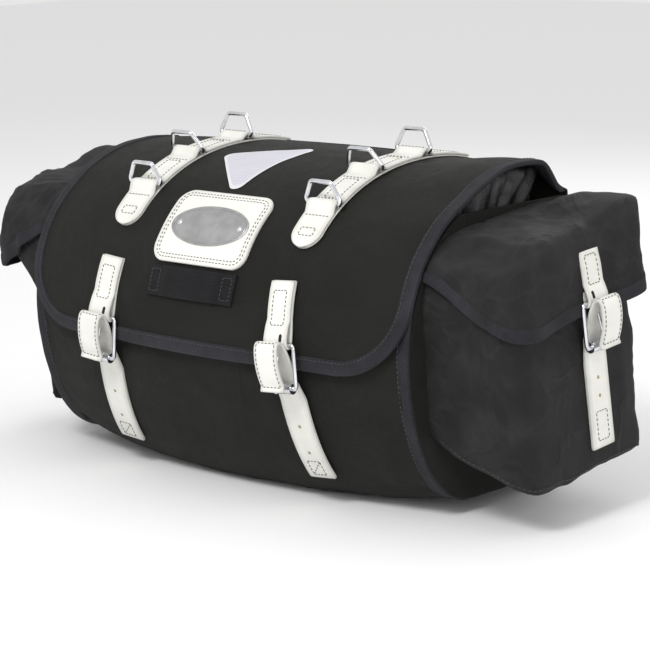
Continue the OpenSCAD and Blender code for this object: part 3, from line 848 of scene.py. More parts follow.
rows = []
span = [lerp(-LID_HALF - 0.5, LID_HALF + 0.5, k / 120) for k in range(121)]
size = min(len(back_tape_row(x)[0]) for x in span)
for x in span:
    outer, inner = back_tape_row(x)
    pick = [min(round(k * (len(outer) - 1) / (size - 1)), len(outer) - 1) for k in range(size)]
    rows.append([p.add(outer[k], (k * 1.2 * MM, x * MM), 0.3 * bump(k, size * 0.45, 4)) for k in pick] +
                [p.add(inner[k], (k * 1.2 * MM, x * MM)) for k in reversed(pick)])
p.rows(rows, 0, wrap=True)
p.face(rows[0][::-1])
p.face(rows[-1])
for drop in (4.0, 10.4):
    p.seam(lambda s: (lid_fn(s - LID_HALF + 2, LID_LEN) + Vector((0, 0.95, -drop)), AXIS_Y),
           2 * LID_HALF - 4, 3.4, 0.66, 0.3)
p.build(None, blend=LID_BEND)

END_TOP = 198.0
front_curve = upper_front(reach(HALF) - LID_GAP, crown(HALF) - LID_GAP)
end_line = [bez(front_curve, t / 40) for t in range(40, 0, -1)]
half_way = body_profile.find(lambda y, z: z < FRONT_Z)
end_line += [body_profile.yz(HALF, lerp(half_way, BODY_LEN, k / 90)) for k in range(91)]
end_line = [q for q in end_line if q[1] < END_TOP]
end_line = [(end_line[0][0] + 1.5, END_TOP)] + end_line + [(BACK, END_TOP)]
end_line += [(lerp(BACK, end_line[0][0], k / 16), END_TOP) for k in range(1, 16)]
end_run = [0.0]
for a, b in zip(end_line, end_line[1:] + end_line[:1]):
    end_run.append(end_run[-1] + math.hypot(b[0] - a[0], b[1] - a[1]))


def end_surface(side):
    """s runs round the end panel's edge, and k from 0 in its middle to 100 there."""
    def fn(s, k):
        s %= end_run[-1]
        i = clamp(bisect.bisect_right(end_run, s) - 1, 0, len(end_line) - 1)
        t = (s - end_run[i]) / (end_run[i + 1] - end_run[i])
        a, b = end_line[i], end_line[(i + 1) % len(end_line)]
        k = max(k, 0.0)
        y, z = lerp(0, lerp(a[0], b[0], t), k / 100), lerp(110, lerp(a[1], b[1], t), k / 100)
        sag = 0.9 * fuzz(y, z, side, 48, 3.7) + 0.35 * ridge(y, z, side, 26, 1.1) - 0.7
        sag *= 1 - smooth(k, 86, 98)
        return Vector((side * (HALF - 0.2 + sag), y, z))
    return Surface(fn, flip=side < 0)


END_RINGS = (1.5, 8, 16, 25, 34, 43, 52, 60, 68, 75, 82, 88, 93, 97, 99.6)
for side, label in SIDES:
    face = end_surface(side)
    p = Piece(f"end_panel_{label}_cloth", BLACK, DARK_THREAD)
    grid = [[(end_run[-1] * j / 150, k) for j in range(150)] for k in END_RINGS]
    p.sheet(face, grid, CLOTH, wrap=True, wear=lambda a, b: 0.1)
    corner = end_run[end_line.index((BACK, END_TOP))]
    p.seam(lambda s: face.spot(corner + s, 97, 0.1), end_run[-2] - corner + 4)
    p.build("bag", [f"end_panel_{label}"])

# Tape folded over both end seams
p = Piece("seam_tape", BIND, DARK_THREAD)
TAPE_STEPS = 150
hem_low = body_profile.find(lambda y, z: z < 166)
hem_high = next(s for s in range(int(BODY_LEN)) if s > BODY_HEEL and body_profile.yz(STRAP_X, s)[1] > 167)
for side in (-1, 1):
    out_dir = Vector((side, 0, 0))
    edge_x = side * HALF
    frames = []
    for i in range(TAPE_STEPS + 1):
        s = lerp(hem_low, hem_high, i / TAPE_STEPS)
        o = Vector(body_profile.yz(edge_x, s))
        d = (Vector(body_profile.yz(edge_x, s + 0.5)) - Vector(body_profile.yz(edge_x, s - 0.5))).normalized()
        wob = 0.35 * fuzz(s, side, 0, 24, 5.5)
        frames.append((Vector((edge_x + side * wob * 0.5, o.x, o.y)), out_dir, Vector((0, d.y, -d.x))))
    section = [(-9.0, 0.15), (-8.6, 0.9), (-5, 1.15), (-1.2, 1.35), (0.6, 1.1), (1.25, 0.1), (1.3, -4),
               (1.15, -7.6), (0.7, -8.1), (0.1, -8.0), (0.05, -2.2), (-0.4, -0.4), (-4, -0.5), (-8.8, -0.45)]
    swell = [(1 + 0.05 * fuzz(i * 2.1, side, 0, 6, 4), 1 + 0.22 * fuzz(i * 2.1, side, 0, 7, 9))
             for i in range(TAPE_STEPS + 1)]
    p.sweep(frames, section, scale=swell,
            wear=lambda run, a, b: 0.5 * (a > -2 and b > -1) * clamp(0.6 + fuzz(run, 0, 0, 26, 2)))

    def on_tape(s, off):
        i = clamp(s / (hem_high - hem_low) * TAPE_STEPS, 0, TAPE_STEPS - 0.001)
        (o, ex, ey), (o2, _, ey2) = frames[int(i)], frames[int(i) + 1]
        o, ey = o.lerp(o2, i % 1), ey.lerp(ey2, i % 1).normalized()
        return (o + ex * -7.2 + ey * 1.15, ey) if off else (o + ey * -6.4 + ex * 1.3, ex)

    for off in (0, 1):
        p.seam(lambda s: on_tape(s, off), hem_high - hem_low, 3.4, 0.66, 0.3)
p.build("bag", ["seam_binding"])

# ---------------------------------------------------------------- collar and cord

CORD_Z = 198.3


def ring_path(t, half_x, y0, y1, r):
    """Place and outward direction on a rounded rectangle; t runs from 0 to 1, starting behind."""
    wx, wy = 2 * half_x - 2 * r, y1 - y0 - 2 * r
    bend = math.pi * r / 2
    d = (t % 1) * (2 * wx + 2 * wy + 4 * bend)
    corners = ((r - half_x, y1 - r), (half_x - r, y1 - r), (half_x - r, y0 + r), (r - half_x, y0 + r))
    for k, w in enumerate((wx, wy, wx, wy)):
        cx, cy = corners[k]
        if d <= w:
            way = ((1, 0), (0, -1), (-1, 0), (0, 1))[k]
            out = ((0, 1), (1, 0), (0, -1), (-1, 0))[k]
            return cx + out[0] * r + way[0] * d, cy + out[1] * r + way[1] * d, out[0], out[1]
        d -= w
        if d <= bend:
            nx, ny = corners[(k + 1) % 4]
            a = math.radians(90 - 90 * k) - d / r
            return nx + r * math.cos(a), ny + r * math.sin(a), math.cos(a), math.sin(a)
        d -= bend
    return cx, cy + r, 0, 1


COLLAR_RUN = 560.0  # length of cloth round the collar
HEM = 42.0  # height at which the hem turns over
HEM_R = 4.6


def collar_fn(a, b):
    """a is the length round the collar, b the height above its sewn edge."""
    t = a / COLLAR_RUN
    h = clamp(b / HEM)
    x, y, nx, ny = ring_path(t, lerp(163, 166, h), lerp(-65, -37, h), lerp(53.5, 53, h), lerp(10, 16, h))
    fold = 0.55 * math.sin(2 * math.pi * (50 * t + 0.7 * fuzz(a, 0, 0, 26, 1.5)))
    fold += 0.8 * fuzz(a, b * 0.35, 0, 9, 6.1)
    w = (0.5 + 3.6 * h) * fold - 0.8 * h
    end = smooth(abs(x), 150, 162) * smooth(y, -36, -8)
    z = 158.5 + b * (1 + 0.13 * end) + (0.8 + 2.6 * h * end) * fuzz(a, 0, 3, 17, 9.4) * h
    z += h * smooth(x, 146, 162) * smooth(y, -14, 22) * lerp(8.0, 2.5, smooth(y, 50, 68))
    w += end * h * 2.5 * fuzz(a, b, 0, 22, 4.4)
    y += 18 * smooth(abs(x), 154, 163) * smooth(y, 20, 48) * h
    over = max(0, b - HEM)
    if over:  # the hem rolls inwards round the cord
        turn = over / HEM_R
        back = HEM_R * (1 - math.cos(turn))
        x, y, z = x - nx * back, y - ny * back, z - over + HEM_R * math.sin(turn)
        w *= math.cos(turn / 2) ** 2
    z -= (3.5 + 4.5 * smooth(abs(x), 100, 150)) * h * smooth(-y, 0, 34)
    return Vector((x + nx * w, y + ny * w, z))


collar = Surface(collar_fn)
p = Piece("storm_collar_nylon", NYLON, DARK_THREAD)
levels = [0, 4, 8, 12, 16, 20, 24, 28, 32, 36, 39, 42, 44.5, 47, 49.5, 52, 54.5]
p.sheet(collar, [[(float(j), b) for j in range(int(COLLAR_RUN))] for b in levels], 0.35, wrap=True)
p.build("bag", ["storm_collar"])

cord = [ring_path(k / 200 + 0.25, 147, -31, 44, 12)[:2] for k in range(200)]
kept = [not (y < -25 and abs(x) < 9) for x, y in cord]  # the ring opens in front, where its two ends turn in
gap = next(k for k in range(200) if kept[k] and not kept[k - 1])
cord = [cord[(gap + k) % 200] for k in range(200) if kept[(gap + k) % 200]]
cord_ring = [Vector((x, y, CORD_Z + 0.5 * fuzz(x, y, 0, 16, 3))) for x, y in cord]
first = 1 if cord_ring[0].x > 0 else -1
tail_line = ((2.3, 11), (2.3, 2), (2.3, -8), (2.3, -18), (2.6, -24), (4.2, -29))
tails = [[Vector((sx * q, y, CORD_Z)) for q, y in tail_line] for sx in (first, -first)]
p = Piece("draw_cord_braid", CORD)
p.tube(tails[0] + cord_ring + tails[1][::-1], 2.0, sides=10)
p.tube([Vector((0, y, CORD_Z + 0.2 * math.sin(y))) for y in range(9, 22)], 4, sides=14,
       radii=[0.35, 0.8, 1.05, 1.15, 0.98, 1.12, 1.2, 1.1, 0.95, 1.1, 1.0, 0.75, 0.3])
p.build("bag", ["draw_cord"])

# ---------------------------------------------------------------- pockets

POCKET_OUT, POCKET_LEAN, POCKET_LOW, FLAP_Z = 78.0, 9.0, 32.0, 190.0
POCKET_FRONT, POCKET_BACK, POCKET_R = 67.0, 58.0, 18.0
TILT, TILT_Z = math.radians(5), 106.0
FACE_ANGLE = math.atan(POCKET_LEAN / (FLAP_Z - POCKET_LOW))
CLOSURE_Y = 12.0
DUCK = 1.8  # thickness of the pockets' cloth


def on_end(side, x, y, z):
    """A place of the untilted right-hand pocket, moved to its own end of the bag."""
    c, s = math.cos(TILT), math.sin(TILT)
    return Vector((side * (HALF + x), y * c - (z - TILT_Z) * s, TILT_Z + y * s + (z - TILT_Z) * c))


def face_x(z):
    return POCKET_OUT - POCKET_LEAN * (z - POCKET_LOW) / (FLAP_Z - POCKET_LOW)


def smax(a, b, k):
    h = clamp(0.5 + 0.5 * (a - b) / k)
    return lerp(b, a, h) + k * h * (1 - h)


def box_dist(x, y, z, g):
    """Distance from a pocket's upright walls."""
    hx, hy = (face_x(z) + 60) / 2, (POCKET_FRONT + POCKET_BACK) / 2
    r = lerp(POCKET_R, 6, smooth(y, 0, 40))
    qx = abs(x - hx + 60) - hx + r
    qy = abs(y + (POCKET_FRONT - POCKET_BACK) / 2) - hy + r
    return math.hypot(max(qx, 0), max(qy, 0)) + min(max(qx, qy), 0) - r - g


def top_dist(y, z, top, g):
    """Distance from a pocket's top, which falls in a curve to its front side."""
    u, v = max(0, (-7 - y) / 60), max(0, (z - top + 46) / 46)
    return ((u ** 2.5 + v ** 2.5) ** 0.4 - 1) * 50 - 0.7 * max(0, top - 46 - z) - g


def base_dist(x, z):
    """Distance from a pocket's bottom, which slopes up to the bag."""
    return (62 - 30 * clamp(x / POCKET_OUT, 0, 1.1) - z) * 0.93


def cast(target, dist):
    """Where the line from inside the pocket through target leaves its form."""
    o = Vector((0, -5, 112))
    d = Vector(target) - o
    lo, hi = 0.05, 1.6
    for _ in range(22):
        m = (lo + hi) / 2
        if dist(*(o + d * m)) < 0:
            lo = m
        else:
            hi = m
    return o + d * lo


SIDE_RUN = POCKET_OUT - POCKET_R
ARC_RUN = POCKET_R * math.pi / 2
FACE_RUN = POCKET_FRONT + POCKET_BACK - 2 * POCKET_R
WALL_RUN = 2 * SIDE_RUN + 2 * ARC_RUN + FACE_RUN


def wall(a):
    """Place on the pocket's outline, from the end panel at its front side round to its back side."""
    if a < SIDE_RUN:
        return max(a, 0), -POCKET_FRONT
    a -= SIDE_RUN
    if a < ARC_RUN:
        t = a / POCKET_R
        return SIDE_RUN + POCKET_R * math.sin(t), -POCKET_FRONT + POCKET_R * (1 - math.cos(t))
    a -= ARC_RUN
    if a < FACE_RUN:
        return POCKET_OUT, -POCKET_FRONT + POCKET_R + a
    a -= FACE_RUN
    if a < ARC_RUN:
        t = a / POCKET_R
        return SIDE_RUN + POCKET_R * math.cos(t), POCKET_BACK - POCKET_R * (1 - math.sin(t))
    return max(SIDE_RUN - a + ARC_RUN, 0), POCKET_BACK


def squeeze(side, p, low, high):
    """The left-hand pocket is empty: its front corner falls in by the share low below and high at its top."""
    if side < 0:
        p.x *= 1 - lerp(low, high, smooth(p.z, 108, 158)) * smooth(-p.y, -8, 62)
    return p


def closure_hold(y, z, low, high):
    """1 where the cloth lies flat under the closure's leather."""
    between = smooth(z, low - 8, low + 6) * (1 - smooth(z, high - 6, high + 8))
    return (1 - smooth(abs(y - CLOSURE_Y), 12, 28)) * between


def pocket_surface(side):
    """b runs down from the rim; past the lower edge it turns in under the pocket."""
    seed = 3.0 * side

    def dist(x, y, z):
        return smax(smax(box_dist(x, y, z, 0), top_dist(y, z, 185, 0), 3), base_dist(x, z), 5)

    def fn(a, b):
        x, y = wall(a)
        z = 184 - b
        edge = 62 - 30 * min(x, POCKET_OUT) / POCKET_OUT
        if z < edge:
            span = math.hypot(x, y + 5) or 1
            k = clamp((edge - z) / span, 0, 0.97)
            x, y = x * (1 - k), lerp(y, -5, k)
            z = 62 - 30 * min(x, POCKET_OUT) / POCKET_OUT
        p = cast((x, y, z), dist)
        out = Vector((p.x * 0.4, p.y + 5, (p.z - 112) * 0.6)).normalized()
        free = (1 - smooth(p.z, 118, 134)) * smooth(p.x, 1, 14)
        free *= 1 - closure_hold(p.y, p.z, 50, 140) * smooth(p.x, 50, 66)
        w = 2.4 * fuzz(p.x, p.y, p.z, 46, 1.7 + seed) - 1.5
        w += 2.3 * ridge(p.x, p.y * 0.55, p.z, 34, 4.4 + seed)
        w += 0.9 * ridge(p.x, p.y, p.z * 1.4, 17, 6.5 + seed)
        w += 1.2 * bump(p.z, 52, 30) * math.sin((p.y + 10) / 13)
        w += 2.2 * bump(p.z, 90, 46) * bump(abs(p.y + 4), 36, 26)
        p = p + out * w * free
        return on_end(side, *squeeze(side, p, 0.78, 0.24))

    return Surface(fn, flip=side > 0, step=2.0)


def rim(a):
    """How far b runs before the pocket's lower edge, for a place on its outline."""
    x, _ = wall(a)
    return 184 - (62 - 30 * min(x, POCKET_OUT) / POCKET_OUT)


def flap_edge(x, y):
    """Height of the flap's lower edge."""
    z = lerp(170, 134, smooth(x, -6, 76)) + 3.0 * smooth(y, -50, -15) + 2.0 * smooth(y, 25, 55)
    return z + 0.8 * math.sin(y / 14 + 1) * smooth(x, 20, 70)


def flap_surface(side):
    """b runs up from z = 128 and over the top to the middle."""
    seed = 5.0 * side

    def dist(x, y, z):
        return smax(box_dist(x, y, z, 3.2), top_dist(y, z, FLAP_Z, 0), lerp(8, 4, smooth(y, 0, 45)))

    def fn(a, b):
        x, y = wall(a)
        z = 128 + b
        if z > FLAP_Z:
            span = math.hypot(x - 4, y + 5) or 1
            k = clamp((z - FLAP_Z) / span, 0, 0.97)
            x, y, z = lerp(x, 4, k), lerp(y, -5, k), FLAP_Z
        p = cast((x, y, z), dist)
        out = Vector((p.x * 0.5, p.y + 5, (p.z - 120) * 0.9)).normalized()
        free = smooth(p.x, 2, 16) * (1 - closure_hold(p.y, p.z, 100, 182) * smooth(p.x, 50, 64))
        top = smooth(p.z, 150, 186)
        w = 1.3 * fuzz(p.x, p.y, p.z, 40, 2.3 + seed) * (1 + 0.8 * top) - 0.2
        w += 2.0 * ridge(p.x, p.y, p.z, 26, 7.4 + seed)
        w += 0.8 * ridge(p.x, p.y * 1.5, p.z, 13, 9.4 + seed) * smooth(p.z, 136, 150)
        front = smooth(-p.y, 0, 45) * smooth(p.z, 138, 152)
        w += 2.4 * ridge(p.x * 1.2, p.y * 0.6, p.z * 0.8, 21, 12.1 + seed) * front
        w += 0.9 * math.exp(-(p.z - 128) / 14) * math.sin(p.y / 9.5 + side)
        w -= 2.2 * top * bump(p.y, 12, 42) * bump(p.x, 44, 40)
        p = p + out * max(w, -1.2) * free
        p.z += 7.5 * smooth(p.y, 12, 56) * smooth(p.z, 140, 186) * smooth(p.x, 6, 40)
        flare = smooth(p.y, 26, 58) * smooth(p.x, 40, 70)
        tip = smooth(-p.y, 25, 60) * (1 - smooth(p.z, 138, 165)) * smooth(p.x, 30, 66)
        p.x += (6.5 - 2.5 * smooth(p.z, 150, 185)) * flare + 3.5 * tip
        p.y += 4.0 * flare
        return on_end(side, *squeeze(side, p, 0.34, 0.20))

    return Surface(fn, flip=side > 0, step=2.5)


def flap_top_run(a):
    x, y = wall(a)
    return FLAP_Z - 128 + 0.96 * math.hypot(x - 4, y + 5)


def shell_wear(a, b):
    return 0.07 * bump(b - rim(a), 0, 9) + 0.26 * clamp(fuzz(a, b, 0, 24, 3) * 1.6)


def flap_wear(a, b):
    rubbed = clamp(fuzz(a, b, 0, 17, 8) * 1.8) * clamp(fuzz(a, b, 0, 52, 2) * 2 + 0.4)
    return 0.2 * bump(b, FLAP_Z - 128, 14) + 0.4 * rubbed


for side, label in SIDES:
    shell = pocket_surface(side)
    p = Piece(f"pocket_shell_{label}_cloth", GREY, DARK_THREAD)
    cols = [WALL_RUN * k / 84 for k in range(85)]
    under = {a: 0.96 * math.hypot(wall(a)[0], wall(a)[1] + 5) for a in cols}
    grid = [[(a, rim(a) * r / 34) for a in cols] for r in range(35)]
    grid += [[(a, rim(a) + r / 12 * under[a]) for a in cols] for r in range(1, 13)]
    p.sheet(shell, grid, DUCK, wear=shell_wear)
    p.seam(lambda a: shell.spot(a, rim(a) - 4.5, 0.05), WALL_RUN - 10, 3.6, 0.66, 0.3, start=10)
    p.build("bag", [f"pocket_shell_{label}"])

    cap = flap_surface(side)
    hinge, _ = joint(f"pocket_flap_{label}_hinge")
    bend = ("bag", f"pocket_flap_{label}", (side * (HALF + 1) * MM, hinge.y * MM, hinge.z * MM),
            (side * (HALF + 10) * MM, hinge.y * MM, hinge.z * MM))
    p = Piece(f"pocket_flap_{label}_cloth", GREY, DARK_THREAD)
    grid = []
    for r in range(0, 34):
        row = []
        for a in cols:
            e = flap_edge(*wall(a)) - 128
            knee = max(FLAP_Z - 128, e + 8)
            row.append((a, lerp(e, knee, r / 14) if r < 14 else lerp(knee, flap_top_run(a), (r - 14) / 19)))
        grid.append(row)
    p.sheet(cap, grid, DUCK, wear=flap_wear)
    p.build(None, [f"pocket_flap_{label}"], blend=bend)

    p = Piece(f"pocket_flap_{label}_tape", BIND, DARK_THREAD)
    path = []
    for k in range(121):
        a = WALL_RUN * k / 120
        slope = (flap_edge(*wall(a + 1)) - flap_edge(*wall(a - 1))) / 2
        size = math.hypot(1, slope)
        lean = -slope / size * smooth(a, 0, 20) * smooth(WALL_RUN - a, 0, 20)
        path.append((a, flap_edge(*wall(a)) - 128, lean, 1 / size))
    bound_edge(p, cap, path, 8.5, depth=DUCK)
    p.build(None, blend=bend)

# ---------------------------------------------------------------- straps and wire

WIRE = 1.5  # radius of the buckles' and loops' wire
BUCKLE_W = 30.0
STRAP_W = 20.0
STRAP_STITCH = (3.0, 0.68, 0.34)  # pitch, share of the pitch that shows, radius of the thread


class Strip:
    """A strap laid along a path of (out, up) in a plane, with what is sewn or cut on its faces.

    Its own normal is to the left of the path's direction, and a height below 0 is on the other face.
    """

    def __init__(self, origin, side, out, up, path, step=1.2, soft=2, closed=False, flip=False):
        self.side = side
        flat = soften(fill([Vector((a, b, 0)) for a, b in path], step, closed), soft, closed)
        self.points = [origin + out * q.x + up * q.y for q in flat]
        n = len(self.points)
        self.frames, self.run = [], [0.0]
        for i, q in enumerate(self.points):
            a = self.points[(i - 1) % n] if closed or i else q
            b = self.points[(i + 1) % n] if closed or i < n - 1 else q
            t = (b - a).normalized()
            self.frames.append((q, side, side.cross(t) if flip else t.cross(side)))
            if i:
                self.run.append(self.run[-1] + (q - self.points[i - 1]).length)
        self.length = self.run[-1]

    def at(self, s, across=0.0, h=0.0):
        s = clamp(s, 0, self.length)
        i = clamp(bisect.bisect_right(self.run, s) - 1, 0, len(self.run) - 2)
        t = (s - self.run[i]) / (self.run[i + 1] - self.run[i])
        n = self.frames[i][2].lerp(self.frames[i + 1][2], t).normalized()
        return self.points[i].lerp(self.points[i + 1], t) + self.side * across + n * h, -n if h < 0 else n

    def leather(self, piece, width, thick, tip=(0, 0), ends=True, closed=False, broad=None):
        """The strap itself; tip is the length of its rounded start and end.

        broad is (distance from the ends, factor in width, factor in thickness) of a wider end.
        """
        scale = []
        for s in self.run:
            k = 1.0
            if tip[0] and s < tip[0]:
                k = math.sqrt(max(0.03, 1 - (1 - s / tip[0]) ** 2))
            if tip[1] and self.length - s < tip[1]:
                k = math.sqrt(max(0.03, 1 - (1 - (self.length - s) / tip[1]) ** 2))
            near = min(s, self.length - s)
            grow = 1 - smooth(s, broad[0] - 22, broad[0]) if broad else 0
            kx, ky = (lerp(1, broad[1], grow), lerp(1, broad[2], grow)) if broad else (1, 1)
            ky *= 0.75 + 0.25 * smooth(near, 0, 1.0) if ends else 1
            scale.append((k * kx * (0.985 + 0.015 * smooth(near, 0, 1.2)), ky))

        def wear(run, a, _):
            at_end = 1 - smooth(min(run, self.length - run), 0, 1.5)
            rubbed = clamp(fuzz(run, a * 0.6, width, 9, 2.0) * 1.5)
            return 0.5 * (abs(a) > width / 2 - 1) + 0.6 * at_end * ends + 0.25 * rubbed

        piece.sweep(self.frames, strap_section(width, thick), closed, scale, wear)

    def line(self, piece, s0, s1, across, h):
        piece.seam(lambda s: self.at(s0 + s, across, h), s1 - s0, *STRAP_STITCH)

    def cross(self, piece, s, a0, a1, h):
        """Stitches from a0 to a1 across the strap, or slantwise when s is a pair."""
        s0, s1 = s if isinstance(s, tuple) else (s, s)
        run = math.hypot(a1 - a0, s1 - s0)
        piece.seam(lambda d: self.at(lerp(s0, s1, d / run), lerp(a0, a1, d / run), h), run, *STRAP_STITCH)

    def box(self, piece, s0, s1, half, h):
        self.line(piece, s0, s1, half, h)
        self.line(piece, s0, s1, -half, h)
        self.cross(piece, s0, -half, half, h)
        self.cross(piece, s1, -half, half, h)

    def hole(self, piece, s, across, r, h, mat, long=0.0):
        """A dark hole, round or drawn out by long each way along the strap."""
        q, n = self.at(s, across, h)
        along = n.cross(self.side)
        if long:
            edge = [self.side * x * r + along * (y * r + math.copysign(long, y)) for x, y in around(16, 0.5)]
            rows = [[piece.add(q + v * k + n * depth) for v in edge]
                    for k, depth in ((1.0, -0.4), (1.0, 0.06), (0.3, 0.0))]
            piece.rows(rows, mat, wrap=True)
            piece.face(rows[-1], mat)
            piece.face(rows[0][::-1], mat)
        else:
            piece.disc(q, n, self.side, r, 0.4, mat, dome=0.05)


def wire_loop(body, corners, r):
    """A closed loop of wire through corners bent to radius r; it replaces the node named like its body."""
    piece = Piece(body + "_wire", NICKEL)
    piece.tube(fill(rounded_loop(corners, r), 2.5, True), WIRE, sides=14, loop=True)
    piece.build(body, [body])


def buckle_wire(body, heel, side, down, drop):
    half = side * (BUCKLE_W / 2 - WIRE)
    wire_loop(body, [heel + half, heel - half, heel - half + down * drop, heel + half + down * drop], 2.6)


# ---------------------------------------------------------------- front closures

SPLAY = math.radians(4.5)  # the front closures lean apart towards their lower ends
BAR_OUT = 4.0  # from the buckle's bar to the line that fold_path is drawn from
DROP = 29.0  # from the bar to the far side of the frame


def fold_path():
    """The billet's way up through the buckle, over its roller and down in front of it."""
    rise = ((-0.65, -28), (-0.65, -19), (4.5, -9), (8.6, -1))
    over = ((8.6, -1), (10.6, 3), (15.2, 4), (15.9, -2))
    fall = ((15.9, -2), (17.0, -12), (14.6, -20), (11.9, -26))
    pts = [bez(rise, k / 8) for k in range(9)] + [bez(over, k / 8) for k in range(1, 9)]
    pts += [bez(fall, k / 10) for k in range(1, 11)] + [(11.9, -27.6), (13.0, -30.2)]
    return [(a - BAR_OUT, b) for a, b in pts]


def chape(piece, origin, side, out, up, face, top, slot_at):
    """Leather folded round the heel bar; face(u) is how far the cloth is from the bar's line."""
    back = [(face(u) + 1.1, u) for u in (top, top - 8, top - 16, top - 24, 8)]
    turn = [(-2.4 * x, -2.5 * y) for x, y in arc((0, 0), 1, 0, 180, 9)]
    front = [(2.2, 3.5), (0.9, 7.5), (max(face(11) + 3.1, -0.6), 11.5)]
    front += [(face(u) + 3.1, u) for u in (16, 22, 28, 34, top)]
    strip = Strip(origin, side, out, up, back + turn + front, 1.0, 1)
    strip.leather(piece, STRAP_W, 1.9)
    end = strip.length
    strip.box(piece, end - top + 10.5, end - 6.5, 5.6, -0.98)

    def in_front(s):
        v = strip.at(s)[0] - origin
        return v.dot(out) > 2.2 and v.dot(up) > -1

    seen = next(s / 2 for s in range(int(end * 2)) if in_front(s / 2))
    strip.hole(piece, seen + 5.2, slot_at, 1.3, -0.98, 2, 1.3)


def billet(piece, origin, side, out, up, run, holes, box):
    """Strap from the bag up run and through the buckle; box is where it is sewn down."""
    strip = Strip(origin, side, out, up, run + fold_path()[1:], 1.0, 2)
    end = strip.length
    strip.leather(piece, STRAP_W, 2.0, broad=(end - 62, 1.12, 1.35))
    for across in (8.0, -8.0):
        strip.line(piece, end - 36, end - 3.4, across, 1.0)
    strip.cross(piece, end - 3.4, -8.0, 8.0, 1.0)
    strip.cross(piece, end - 33, -8.0, 8.0, 1.0)
    for s in holes:
        strip.hole(piece, s, 0, 1.25, -1.36, 3)
    strip.box(piece, box[0], box[1], 5.6, -1.36)
    return strip


for side, label in SIDES:
    heel, _ = joint(f"front_buckle_{label}_swing")
    across = Vector((math.cos(SPLAY), 0, side * math.sin(SPLAY)))
    up = Vector((-side * math.sin(SPLAY), 0, math.cos(SPLAY)))

    def lid_face(u):
        q = heel + up * u
        s = lid_profile.find(lambda y, z: z >= q.z)
        return heel.y - lid_profile.yz(q.x, s)[0]

    p = Piece(f"front_chape_{label}", LEATHER, THREAD, HOLE)
    chape(p, heel, across, -AXIS_Y, up, lid_face, 40, 5.2)
    p.build("lid", ["front_chapes"])

    run = [bez(lower_front(99, -1.5), lerp(0.4, 0.82, k / 12)) for k in range(13)]
    run = [(-106 - y, z - 114) for y, z in run]
    p = Piece(f"front_billet_{label}_strap", LEATHER, THREAD, HOLE, PUNCHED)
    strap = billet(p, heel, across, -AXIS_Y, up, run, (22, 42), (3.4, 15))
    strap.cross(p, (3.4, 15), -5.6, 5.6, -1.36)
    p.build("bag", [f"front_billet_{label}"])
    buckle_wire(f"front_buckle_{label}", heel, across, -up, DROP)

# ---------------------------------------------------------------- pocket closures

for side, label in SIDES:
    heel, _ = joint(f"pocket_buckle_{label}_swing")
    o = on_end(side, 0, 0, 0)
    ex = on_end(side, 1, 0, 0) - o
    ey = (on_end(side, 0, 1, 0) - o) * side
    ez = on_end(side, 0, 0, 1) - o
    out = (ex * math.cos(FACE_ANGLE) + ez * math.sin(FACE_ANGLE)).normalized()
    up = (ez * math.cos(FACE_ANGLE) - ex * math.sin(FACE_ANGLE)).normalized()

    p = Piece(f"pocket_chape_{label}_leather", LEATHER, THREAD, HOLE)
    chape(p, heel, ey, out, up, lambda u: -3.9 - 2.2 * smooth(u, 18, 36), 36, -5.2)
    p.build(f"pocket_flap_{label}", [f"pocket_chape_{label}"])

    run = [(-1.2 - BAR_OUT, u) for u in (-97, -90, -80, -70, -60, -50, -42)]
    p = Piece(f"pocket_billet_{label}_strap", LEATHER, THREAD, HOLE, PUNCHED)
    billet(p, heel, ey, out, up, run, (34, 46), (5, 24))
    p.build("bag", [f"pocket_billet_{label}"])
    buckle_wire(f"pocket_buckle_{label}", heel, ey, -up, DROP)

# ---------------------------------------------------------------- lid straps and loops

LOOP_LEANS = (("front", 10), ("middle", 26), ("rear", -6))
LOOP_FOOT, LOOP_TOP, LOOP_RISE = 17.0, 8.75, 15.5  # half width at the foot and the top, and height
LID_STRAP_W = 25.0
LID_STRAP_START = lid_profile.find(lambda y, z: y + z >= 92)


def lid_near(x, y, z, step):
    """Length along the lid's curve at x, in whole steps, that lies nearest to (y, z)."""
    def off(s):
        q = lid_profile.yz(x, s)
        return math.hypot(q[0] - y, q[1] - z)

    return min((k * step for k in range(int(LID_LEN / step))), key=off)


def lid_strip(x, height):
    """Strip over the lid at x; height(s) is how far it stands off the lid."""
    span = LID_LEN - 5 - LID_STRAP_START
    count = int(span / 1.1)
    pts = []
    for k in range(count + 1):
        s = LID_STRAP_START + span * k / count
        (y, z), (y0, z0), (y1, z1) = (lid_profile.yz(x, s + e) for e in (0, -0.4, 0.4))
        h = height(s) / math.hypot(y1 - y0, z1 - z0)
        pts.append((h * (z1 - z0) - y, z + h * (y1 - y0)))
    return Strip(AXIS_X * x, AXIS_X, -AXIS_Y, AXIS_Z, pts, 1.1, 0, flip=True)


